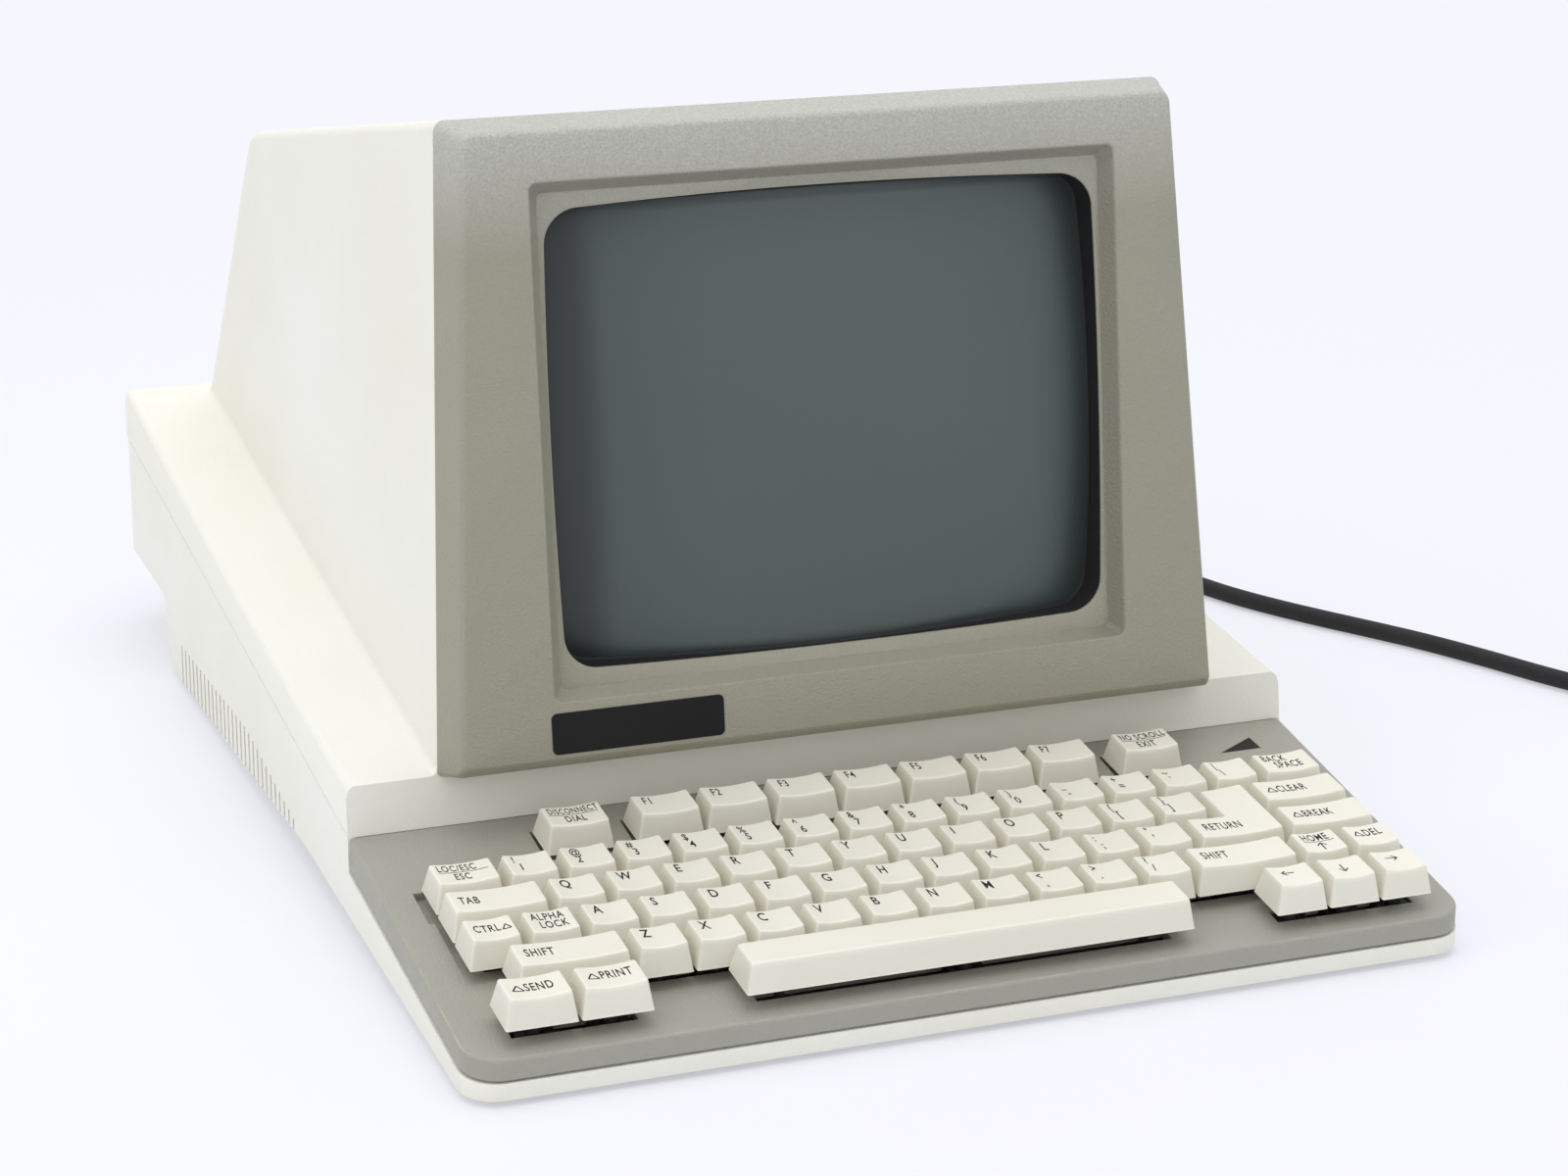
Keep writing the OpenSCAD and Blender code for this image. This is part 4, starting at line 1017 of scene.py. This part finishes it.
TRAY_W = 5.9
TRAY_GAP, TRAY_BACK = 0.2, 0.22
STEM_HOLE = 2.9
SLOT_HALF = 3.5
FIELD_HW = 160.5

# Spans of the trays and slots in key pitches, by row
TRAYS = ((F_ROW, ((2.37, 3.62), (4.0, 12.75), (13.15, 14.4))), (1, ((-0.1, 16.5),)), (2, ((0, 16.5),)),
         (3, ((0, 16.5),)))
SLOTS = ((4, ((0.7, 16.3),)), (5, ((0.2, 2.3), (4.3, 11.7), (13.7, 16.3))))


def stem_places():
    """Middle of every switch: x across and v up the key slope. The space bar has one, the return key two."""
    cells = [c for group in KEY_CELLS.values() for c in group] + [(4, 8, 5), (13.375, 1, 3), (13.75, 1, 2)]
    return [(KEY_X0 + (left + width / 2) * PITCH, row_v(row) + PITCH / 2) for left, width, row in cells]


def wells():
    """Limits in x and v, and the level, of the sunk trays round the rear key rows (1), and of the holes for
    stems and the slots under the two front rows (2)."""
    boxes = []
    for row, spans in TRAYS:
        v = row_v(row)
        boxes += [(KEY_X0 + a * PITCH - TRAY_GAP, KEY_X0 + b * PITCH + TRAY_GAP, v - TRAY_GAP,
                   v + PITCH + TRAY_BACK, 1) for a, b in spans]
    boxes += [(x - STEM_HOLE, x + STEM_HOLE, v - STEM_HOLE, v + STEM_HOLE, 2) for x, v in stem_places()]
    for row, spans in SLOTS:
        v = row_v(row) + PITCH / 2
        boxes += [(KEY_X0 + a * PITCH, KEY_X0 + b * PITCH, v - SLOT_HALF, v + SLOT_HALF, 2) for a, b in spans]
    return boxes


def panel_plane(y):
    """Height of the panel's top plane."""
    return LIP_Z + PANEL_SLOPE * y


def base_rim(y):
    """Height of the base's rim under the panel's skirt."""
    return RIM_Z + RIM_SLOPE * y


def panel_height(v):
    """Height over the key plate of the panel's top plane at v, and the lip depth of that point."""
    c, s = math.cos(KEY_SLOPE), math.sin(KEY_SLOPE)
    w = (LIP_Z + PANEL_SLOPE * (KEY_Y + v * c) - KEY_Z - v * s) / (c + PANEL_SLOPE * s)
    return w, KEY_Y + v * c - w * s


class TERMINAL_OT_panel(bpy.types.Operator):
    """Keyboard panel: rounded skirt, sloping top, trays round the rear key rows and holes for the stems"""

    bl_idname = "terminal.panel"
    bl_label = "Keyboard panel"

    def execute(self, context):
        shell = Shell()
        xs, vs, level = self.field()
        self.border(shell, xs, panel_height(vs)[1])
        self.top(shell, xs, vs, level)
        settle(shell.build("panel_skin", panel_finish(), 40.0), "casing", "bezel", "keyboard_panel")
        self.wedge()
        return {"FINISHED"}

    def field(self):
        """Grid lines on the wells' limits, and each cell's level: 0 on the plane, 1 in a tray, 2 open."""
        xs, vs = {-FIELD_HW, FIELD_HW}, {row_v(5) - 0.6, row_v(F_ROW) + PITCH + 2.0}
        sunk = wells()
        for a, b, c, d, _ in sunk:
            xs |= {round(a, 3), round(b, 3)}
            vs |= {round(c, 3), round(d, 3)}
        xs, vs = np.array(sorted(xs)), np.array(sorted(vs))
        cx, cv = (xs[:-1] + xs[1:]) / 2, (vs[:-1] + vs[1:]) / 2
        level = np.zeros((len(cv), len(cx)), int)
        for a, b, c, d, deep in sunk:
            inside = ((cx > a) & (cx < b))[None] & ((cv > c) & (cv < d))[:, None]
            level = np.where(inside, np.maximum(level, deep), level)
        return xs, vs, level

    def border(self, shell, xs, ys):
        """Outlines from a groove over the base's rim up the skirt, over a quarter round and in to the field's
        edge."""
        r = sizes().panel_edge
        hw, back = BODY_HW - 0.4, -0.3
        corners = [(-hw, FRONT), (hw, FRONT), (hw, back), (-hw, back)]
        radii = np.array([12.0, 12.0, 0.6, 0.6])
        rings, rims = [], []

        def ring(by, lift, rim, under=panel_plane):
            line = outline(inset(corners, (by, by, by * 0.02, by)), np.maximum(radii - by, 0.5), 14, 12)
            rings.append(np.column_stack([line, under(line[:, 1]) + lift]))
            rims.append(rim)

        for by, lift, rim in ((2.2, -0.6, 0.0), (2.2, 0.9, 0.0), (0.3, 0.8, 0.0), (0.0, 1.1, 0.2)):
            ring(by, lift, rim, base_rim)
        ring(0.0, -r - 0.4, 0.0)
        for i, (ins, up) in enumerate(zip(*fillet(8))):
            ring(r * ins, r * up - r, 1.0 if i in (4, 5) else 0.25)
        line = outline([(xs[0], ys[0]), (xs[-1], ys[0]), (xs[-1], ys[-1]), (xs[0], ys[-1])], 0.02, 14, 12)
        rings.append(np.column_stack([line, panel_plane(line[:, 1])]))
        rims.append(0.0)
        grid = np.array(rings)
        shell.sheet(grid, closed=True, rim=np.repeat(rims, grid.shape[1]))

    def top(self, shell, xs, vs, level):
        """Field's grid on the plane, in the trays and below them, with a wall between cells of two levels."""
        w, y = panel_height(vs)
        wide = np.broadcast_to(xs[None], (len(vs), len(xs)))
        tray = np.minimum(w - 0.02, TRAY_W)[:, None]
        layers = np.concatenate([
            np.stack(np.broadcast_arrays(wide, y[:, None], panel_plane(y)[:, None]), -1),
            key_point(wide, vs[:, None], tray), key_point(wide, vs[:, None], tray - 3.5)])
        ids = np.arange(wide.size).reshape(wide.shape)
        quads = quads_of(ids)
        faces = [quads[level == k] + k * ids.size for k in (0, 1)]
        # a wall stands on every grid line that parts two levels, and faces the lower one
        across = (level[:, :-1], level[:, 1:], ids[:-1, 1:-1], ids[1:, 1:-1])
        along = (level[1:], level[:-1], ids[1:-1, :-1], ids[1:-1, 1:])
        for one, two, a, b in (across, along):
            for high, low, turn in ((one, two, -1), (two, one, 1)):
                k = np.nonzero(high < low)
                up, dn = high[k] * ids.size, low[k] * ids.size
                faces.append(np.stack([a[k] + up, b[k] + up, b[k] + dn, a[k] + dn], -1)[:, ::turn])
        shell.add(layers, faces)

    def wedge(self):
        """Printed wedge beside the thumbwheel: three corners on the panel, filled by lines from the first."""
        shell = Shell()
        tip, low, high = np.array([(137.0, -19.0), (152.6, -19.0), (152.0, -11.0)])
        u = np.linspace(0, 1, 7)[:, None]
        a, b = tip + (low - tip) * u, tip + (high - tip) * u
        grid = a[:, None] + (b - a)[:, None] * np.linspace(0, 1, 5)[None, :, None]
        z = panel_plane(grid[..., 1]) + 0.05
        shell.sheet(np.concatenate([grid, z[..., None]], -1), flip=True)
        settle(shell.build("wheel_mark", ink_finish()), "casing", "black_plastic")


# Head


class TERMINAL_OT_bezel(bpy.types.Operator):
    """Screen bezel: drafted sides, round front edge, sunk frame, opening for the glass, and the bare badge"""

    bl_idname = "terminal.bezel"
    bl_label = "Screen bezel"

    def execute(self, context):
        shell = Shell()
        rings = Rings()
        self.outside(rings)
        self.recess(rings)
        for grow, drop in ((0.7, -0.25), (0.3, 0.0), (0.05, 0.2), (0.0, 0.6), (0.0, 1.2)):
            line = opening(grow)
            rings.add(line, opening_depth(line) - drop, 0.2)
        rings.lay(shell, face_point)
        settle(shell.build("bezel_skin", bezel_finish(), 40.0), "casing", "bezel", "screen_bezel")
        # black sheet of painted shade on the opening's inner wall
        self.wall_shade()
        self.badge()
        return {"FINISHED"}

    def outside(self, rings):
        """Outlines up the drafted sides and over a quarter round. The underside falls to the rear, behind a
        chamfer."""
        r = sizes().bezel_edge
        chamfer = BEZEL_T - 4.0
        side, top = (math.tan(math.radians(a)) for a in (15.0, 12.5))
        foot = np.array([(-FOOT_HW, 0), (FOOT_HW, 0), (TOP_HW, FACE_H), (-TOP_HW, FACE_H)])
        spread = np.array([(-0.5, 0), (0.5, 0), (0, 0), (0, 0)]) / BEZEL_T

        def ring(extra, t, rim):
            low = -1.6 + 0.14 * min(t, chamfer) + 0.775 * max(0.0, t - chamfer)
            by = (low + 0.3 * extra, t * side + extra, t * top + extra, t * side + extra)
            rings.add(outline(inset(foot + t * spread, by), (1.8, 1.8, 4.5, 4.5), 10, 20), t, rim)

        for t in (0.0, 4.0, 9.0, chamfer, BEZEL_T - r):
            ring(0.0, t, 0.0)
        ins, ups = fillet(8)
        for i in range(1, 8):
            ring(r * ins[i], BEZEL_T - r + r * ups[i], 0.8 if i in (3, 4) else 0.2)

    def recess(self, rings):
        """Outlines of the sunk frame: its round edge, its slope and the foot of the slope. The slope and the
        round edge's inner rings carry painted shade at the right and top, by the eighth power of the way from
        the middle."""
        corners = [(-102.5, 21.9), (102.5, 21.9), (102.5, 191.4), (-102.5, 191.4)]
        slope = np.array([3.2, 4.2, 4.2, 4.2])
        shade_reach = np.array([99.0, 82.0])

        def ring(share, t, rim, radius):
            line = outline(inset(corners, slope * share), radius, 10, 20)
            # a rim below nought is painted shade, kept to the right and top sides
            if rim < 0:
                rim = rim * np.clip((line - OPEN_MID) / shade_reach, 0, 1).max(1) ** 8
            rings.add(line, t, rim)

        # the round edge's rim runs from wear at its crest to painted shade on its inner rings
        for a in np.linspace(0, math.pi / 3, 6):
            ring(-0.1 + 0.2 * math.sin(a), BEZEL_T - 0.8 * (1 - math.cos(a)), 0.3 - 0.4 * a, 3.0)
        for share in (0.2, 0.5, 0.8, 0.96):
            ring(share, BEZEL_T - (BEZEL_T - MASK_T) * share, -0.55, 2.2)
        ring(1.0, MASK_T, -0.3, 2.0)
        ring(1.08, MASK_T, 0.0, 2.0)

    def wall_shade(self):
        """Painted shade on the opening's inner wall, as a black sheet: the opening's outline run down to the
        domed glass, then a soft lip laid on it.
        """
        shell = Shell()
        rings = Rings()
        wall = opening(-0.1)
        start = opening_depth(wall) - 0.9
        for share in (0.0, 0.3, 0.6, 0.85):
            rings.add(wall, start + (glass_depth(wall) - start) * share)
        for shrink, lift in ((0.1, 0.8), (0.3, 0.45), (0.6, 0.25), (0.9, 0.1), (1.1, -0.2)):
            line = opening(-shrink)
            rings.add(line, np.minimum(glass_depth(line) + lift, start - 0.2))
        rings.lay(shell, face_point)
        settle(shell.build("screen_wall_shade", rubber_finish(), 60.0), "casing", "rubber")

    def badge(self):
        """Bare badge: outlines with round corners drawn in over a small bevel, then shrunk to the middle."""
        shell = Shell()
        rings = Rings()
        x0, x1, s0, s1 = -103.9, -44.6, 4.9, 18.7
        back, front = BEZEL_T - 0.6, BEZEL_T + 0.4
        corners = [(x0, s0), (x1, s0), (x1, s1), (x0, s1)]
        for by, t in ((0.0, back), (0.0, BEZEL_T + 0.15), (0.1, BEZEL_T + 0.32), (0.3, front), (0.6, front)):
            rings.add(outline(inset(corners, [by] * 4), 1.9 - by, 8, 10), t)
        mid = np.array([(x0 + x1) / 2, (s0 + s1) / 2])
        last = rings.lines[-1]
        for share in (0.6, 0.25):
            rings.add(mid + (last - mid) * share, front)
        grid = rings.lay(shell, face_point)
        shell.fan(grid[-1], face_point(*mid, front))
        shell.fan(grid[0], face_point(*mid, back), flip=True)
        settle(shell.build("badge_skin", black_finish(), 50.0), "casing", "black_plastic", "badge_plate")


class TERMINAL_OT_tube(bpy.types.Operator):
    """Picture tube: domed glass face, rim, funnel and neck"""

    bl_idname = "terminal.tube"
    bl_label = "Picture tube"

    def execute(self, context):
        shell = Shell()
        rings = Rings()
        neck_r, neck_t, end_t = 10.2, -150.0, -231.5
        mouth_r, funnel_h = 135.0, 120.0
        centre = np.array([0.0, GLASS_S])
        edge = opening(7.0, 12.0, 16, 24) - OPEN_MID
        wide = np.linalg.norm(edge, axis=1, keepdims=True)
        # the glass's rim share is painted shadow of the bezel
        for share in np.linspace(0.04, 1.0, 64):
            line = edge * share + centre
            rings.add(line, glass_depth(line), self.shade(line))
        for t in (-26.0, -30.0):
            rings.add(edge + centre, t, 1.0)
        # the funnel is a cone that the rim's outline cuts off
        for t in np.linspace(-34, neck_t, 30):
            cone = neck_r + (mouth_r - neck_r) * (t - neck_t) / funnel_h
            rings.add(edge / wide * np.minimum(wide, cone) + centre, t, 1.0)
        for t in (-180.0, end_t):
            rings.add(edge / wide * neck_r + centre, t, 1.0)
        grid = rings.lay(shell, face_point, flip=True)
        shell.fan(grid[0], face_point(*centre, GLASS_T))
        shell.fan(grid[-1], face_point(*centre, end_t), flip=True)
        settle(shell.build("tube_skin", glass_finish(), 40.0), "casing", "glass", "picture_tube")
        return {"FINISHED"}

    def shade(self, flat):
        """Painted shadow of the bezel on the screen, darkest near its edge: each side fades over its own width.
        """
        left, low = (flat - OPEN_MID + np.array(OPEN_HALF)).T
        right, top = 2 * OPEN_HALF[0] - left, 2 * OPEN_HALF[1] - low

        def fade(way, full, gone, most):
            u = np.clip((gone - way) / (gone - full), 0, 1)
            return 1 - most * u * u * (3 - 2 * u)

        clear = fade(left, 11.0, 24.0, 0.8) * fade(left, 0.0, 60.0, 0.25) * fade(right, 0.0, 24.0, 0.5)
        return 1 - clear * fade(top, 3.4, 5.0, 0.5) * fade(low, 0.5, 5.0, 0.75)


# Top case


def seam_height(t):
    """Height of the seam where depth share t meets it: the seam's line crossed with the leaning section."""
    k = (1 - t) * math.tan(LEAN)
    return LIP_Z + SEAM_SLOPE * REAR * t / (1 - SEAM_SLOPE * k)


def leaning_depth(t, z):
    """Lip depth of a point at depth share t: sections lean with the screen face in front and are upright at
    the rear."""
    return REAR * t + (1 - t) * math.tan(LEAN) * (z - LIP_Z)


def shelf_height(x, y):
    """Side shelf: its outer edge climbs on a slow curve, and it rises toward the head by a share that fades
    to nothing at the level rear edge. A flatter facet lies in front. The crease is softened."""
    fade = (1 - np.clip(y / 345.0, 0, 1) ** 4) * np.clip((y + 10.0) / 60.0, 0.1, 1)
    slope = 50.6 + 0.0965 * y + 0.0000885 * y * y + math.tan(SHELF_TILT) * (166 - x) * fade
    facet = 51.8 + 0.075 * y
    return (slope + facet + np.sqrt((slope - facet) ** 2 + 0.3)) / 2


def head_height(t):
    """Top of the head at depth share t: the sloping top and the slanted rear wall, blended over the edge."""
    k = (1 - t) * math.tan(LEAN)
    front_y = FACE_Y + FACE_H * math.sin(LEAN)
    rear_z = HEAD_Z - (HEAD_REAR_Y - front_y) * HEAD_FALL

    def meet(z0, y0, slope):
        return (z0 + slope * (y0 - REAR * t + k * LIP_Z)) / (1 + slope * k)

    top, rear = meet(HEAD_Z, front_y, HEAD_FALL), meet(rear_z, HEAD_REAR_Y, REAR_STEEP)
    return (top + rear - np.sqrt((top - rear) ** 2 + 9.0)) / 2


# Depth shares of the case's sections: from, to and how many
CASE_SPANS = ((0, 0.02, 4), (0.02, 0.3, 30), (0.3, 0.76, 24), (0.76, 0.99, 120))
# Slope by which the head's walls draw in toward the rear
HEAD_INWARD = math.tan(math.radians(0.33))


class TERMINAL_OT_case(bpy.types.Operator):
    """Top case: lip, side shelves, head and rear, as one section carried from the front to the rear"""

    bl_idname = "terminal.case"
    bl_label = "Top case"

    def execute(self, context):
        shell = Shell()
        t = np.unique(np.concatenate([np.linspace(*span) for span in CASE_SPANS]))[:, None]
        x, z, rim = self.section(t)
        body = np.stack([x, leaning_depth(t, z), z], -1)
        rear = self.rear(body[-1])
        rims = np.concatenate([np.broadcast_to(rim, body.shape[:2]), np.full(rear.shape[:2], 0.4)])
        shell.sheet(np.concatenate([body, rear]), rim=rims)
        self.lip(shell, body[0])
        self.brow(shell, body[0])
        settle(shell.build("case_skin", casing_finish(), 42.0), "casing", "casing", "top_case")
        return {"FINISHED"}

    def section(self, t):
        """Sections at depth shares t: up the side from the seam, over the shoulder, along the shelf, round
        into the head's wall, up it and over its edge to the middle, then mirrored. Gives x, z and rims."""
        r = sizes().shelf_edge
        y = leaning_depth(t, SHELF_Z)
        seam = seam_height(t)
        level = 0 * seam
        # shoulder: quarter round from the upright side to the shelf's slope
        hw, turn = BODY_HW - 0.6, math.pi / 2 - SHELF_TILT
        ang = np.linspace(0, turn, 9)[None]
        round_x = hw - r + r * np.cos(ang)
        round_z = shelf_height(hw - r + r * math.cos(turn), y) - r * math.sin(turn) + r * np.sin(ang)
        side_x = np.array([[BODY_HW - 0.7, BODY_HW, BODY_HW - 0.2]])
        side_z = np.concatenate([seam, seam + 0.7, np.maximum(round_z[:, :1] - 0.5, seam + 1.0)], 1)
        # head wall: where it meets the shelf, how tall it is and the radii at its foot and top
        wall = FOOT_HW - HEAD_INWARD * y
        foot_z = shelf_height(wall, y)
        top_z = np.maximum(head_height(t), foot_z + 0.2)
        foot_r, top_r = (np.minimum(most, 0.42 * (top_z - foot_z)) for most in (2.8, 3.4))
        low_z, high_z = foot_z + foot_r, top_z - top_r
        wall_z = low_z + (high_z - low_z) * np.array([[0.1, 0.3, 0.5, 0.7, 0.9]])
        wall_x = wall - HEAD_DRAFT * (wall_z - foot_z)
        # shelf, and the inner round as a quadratic curve between the shelf and the wall
        start = hw - r * 1.4
        shelf_x = start + (wall + foot_r - start) * np.array([[0.25, 0.5, 0.75, 1.0]])
        shelf_z = shelf_height(shelf_x, y)
        u = np.linspace(0, 1, 8)[None, 1:]
        near, bend, far = (1 - u) ** 2, 2 * u * (1 - u), u**2
        inner_x = near * (wall + foot_r) + bend * wall + far * (wall - HEAD_DRAFT * foot_r)
        inner_z = near * shelf_height(wall + foot_r, y) + bend * foot_z + far * low_z
        # top edge of the head, and its flat top up to the middle
        ang = np.linspace(0, math.pi / 2, 8)[None]
        edge_x = wall - HEAD_DRAFT * (high_z - foot_z) - top_r * (1 - np.cos(ang))
        edge_z = high_z + top_r * np.sin(ang)
        flat_x = edge_x[:, -1:] * np.array([[0.75, 0.5, 0.25]])
        x = np.concatenate([side_x + level, round_x + level, shelf_x, inner_x, wall_x, edge_x, flat_x], 1)
        z = np.concatenate([side_z, round_z, shelf_z, inner_z, wall_z, edge_z, top_z + 0 * flat_x], 1)
        rim = np.repeat([0.2, 0.8, 0.0, 0.9, 0.0], [3, 9, 16, 8, 3])
        return (np.concatenate([x, level, -x[:, ::-1]], 1), np.concatenate([z, top_z, z[:, ::-1]], 1),
                np.concatenate([rim, [0.0], rim[::-1]]))

    def rear(self, last):
        """Soft rear edge: rows that draw in over a quarter round and run down the rear wall to the seam."""
        rows = []
        seam = seam_height(1.0)
        for ins, out in np.transpose(fillet(6))[1:]:
            row = last.copy()
            row[:, 0] *= 1 - 0.02 * ins
            row[:, 2] -= np.minimum(3.0 * ins, np.maximum(row[:, 2] - seam - 0.2, 0))
            row[:, 1] += (REAR - last[:, 1]) * out
            rows.append(row)
        foot = rows[-1].copy()
        foot[:, 2] = np.minimum(foot[:, 2], seam)
        return np.array(rows + [foot])

    def lip(self, shell, front):
        """Front of the lip: straight lines from the seam up to the front section, or behind the bezel."""
        hidden_z = FACE_Z + 10
        low = front[(front[:, 0] > 0) & (front[:, 2] < hidden_z)]
        across = np.linspace(low[-1, 0], -low[-1, 0], 40)[1:-1]
        behind = np.column_stack([across, 0 * across, np.full(len(across), hidden_z)])
        top = np.concatenate([low, behind, low[::-1] * np.array([-1.0, 1.0, 1.0])])
        x = np.clip(top[:, 0], 0.7 - BODY_HW, BODY_HW - 0.7)
        u = np.linspace(0, 1, 12)[:, None]
        z = LIP_Z + (top[:, 2] - LIP_Z) * u
        grid = np.stack([x + (top[:, 0] - x) * u, leaning_depth(0.0, z), z], -1)
        shell.sheet(grid, flip=True)

    def brow(self, shell, front):
        """Rim of the head behind the bezel: the front section drawn in a little on the same plane."""
        a = front[front[:, 2] > FACE_Z + 8]
        b = a * np.array([0.95, 1.0, 1.0])
        b[:, 2] = FACE_Z + (a[:, 2] - FACE_Z) * 0.97
        b[:, 1] = leaning_depth(0.0, b[:, 2])
        shell.sheet(np.stack([b, a]))


# Switches and fittings


HOUSING_HALF, HOUSING_LOW = 6.3, -3.4
BORE_R, BORE_LOW = 2.8, -2.8


class TERMINAL_OT_switches(bpy.types.Operator):
    """Switch housings under the caps: bored blocks that stop short of the panel and its trays"""

    bl_idname = "terminal.switches"
    bl_label = "Switch housings"

    def execute(self, context):
        shell = Shell()
        half = HOUSING_HALF
        square = outline([(-half, -half), (half, -half), (half, half), (-half, half)], 0.5, 3, 3)
        bore = BORE_R * square / np.linalg.norm(square, axis=1, keepdims=True)
        for x, v in stem_places():
            top = min(TRAY_W, float(panel_height(v - half)[0])) - 0.6
            rings = Rings()
            for line, w in ((square, HOUSING_LOW), (square, top - 0.4), (square * 0.95, top), (bore, top),
                            (bore, BORE_LOW)):
                rings.add(line + np.array([x, v]), w)
            grid = rings.lay(shell, key_point)
            shell.fan(grid[0], key_point(x, v, HOUSING_LOW), flip=True)
            shell.fan(grid[-1], key_point(x, v, BORE_LOW))
        settle(shell.build("switch_housings", black_finish()), "casing", "black_plastic", "key_housings")
        return {"FINISHED"}


class TERMINAL_OT_fittings(bpy.types.Operator):
    """Finishes of the base, the rear fittings, the thumbwheel and the works inside"""

    bl_idname = "terminal.fittings"
    bl_label = "Base and fittings"

    def execute(self, context):
        steel = metal_finish("plated_steel", srgb(186, 188, 190), srgb(160, 160, 158), 0.38)
        copper = metal_finish("wound_copper", srgb(150, 84, 48), srgb(110, 60, 40), 0.45)
        iron = metal_finish("varnished_iron", srgb(84, 84, 88), srgb(66, 64, 62), 0.5)
        dress("base_pan", casing_finish(), 0.5)
        dress("feet", rubber_finish(), 0.3)
        for name in ("case_screws", "tube_band", "tube_screws", "connector_plate", "key_plate"):
            dress(name, steel, 0.2)
        for name in ("flyback_transformer", "logic_chips", "serial_ports", "phone_jacks", "fuse_holder",
                     "power_rocker", "contrast_wheel"):
            dress(name, black_finish(), 0.2)
        for name in ("neck_board", "video_board", "logic_board", "key_board"):
            dress(name, board_finish())
        dress("deflection_yoke", copper, 0.4)
        dress("power_transformer", iron, 0.4)
        return {"FINISHED"}


STEPS = (
    TERMINAL_OT_stage, TERMINAL_OT_lead, TERMINAL_OT_case, TERMINAL_OT_bezel, TERMINAL_OT_tube,
    TERMINAL_OT_panel, TERMINAL_OT_caps, TERMINAL_OT_legends, TERMINAL_OT_switches, TERMINAL_OT_fittings,
)


class TERMINAL_PT_sidebar(bpy.types.Panel):
    """Lists the pieces of the dress and their sizes"""

    bl_idname = "TERMINAL_PT_sidebar"
    bl_label = "Desk terminal"
    bl_space_type = "VIEW_3D"
    bl_region_type = "UI"
    bl_category = "Terminal"

    def draw(self, context):
        for step in STEPS:
            self.layout.operator(step.bl_idname)
        for group in (context.scene.terminal_sizes, context.scene.terminal_colours):
            box = self.layout.box()
            for key in group.__annotations__:
                box.prop(group, key)


CLASSES = (TerminalSizes, TerminalColours, *STEPS, TERMINAL_PT_sidebar)


def register():
    for cls in CLASSES:
        bpy.utils.register_class(cls)
    bpy.types.Scene.terminal_sizes = bpy.props.PointerProperty(type=TerminalSizes)
    bpy.types.Scene.terminal_colours = bpy.props.PointerProperty(type=TerminalColours)


def unregister():
    del bpy.types.Scene.terminal_colours
    del bpy.types.Scene.terminal_sizes
    for cls in reversed(CLASSES):
        bpy.utils.unregister_class(cls)


def main():
    register()
    bpy.ops.terminal.stage()
    bpy.ops.terminal.lead()
    bpy.ops.terminal.case()
    bpy.ops.terminal.bezel()
    bpy.ops.terminal.tube()
    bpy.ops.terminal.panel()
    bpy.ops.terminal.caps()
    bpy.ops.terminal.legends()
    bpy.ops.terminal.switches()
    bpy.ops.terminal.fittings()


if __name__ == "__main__":
    main()
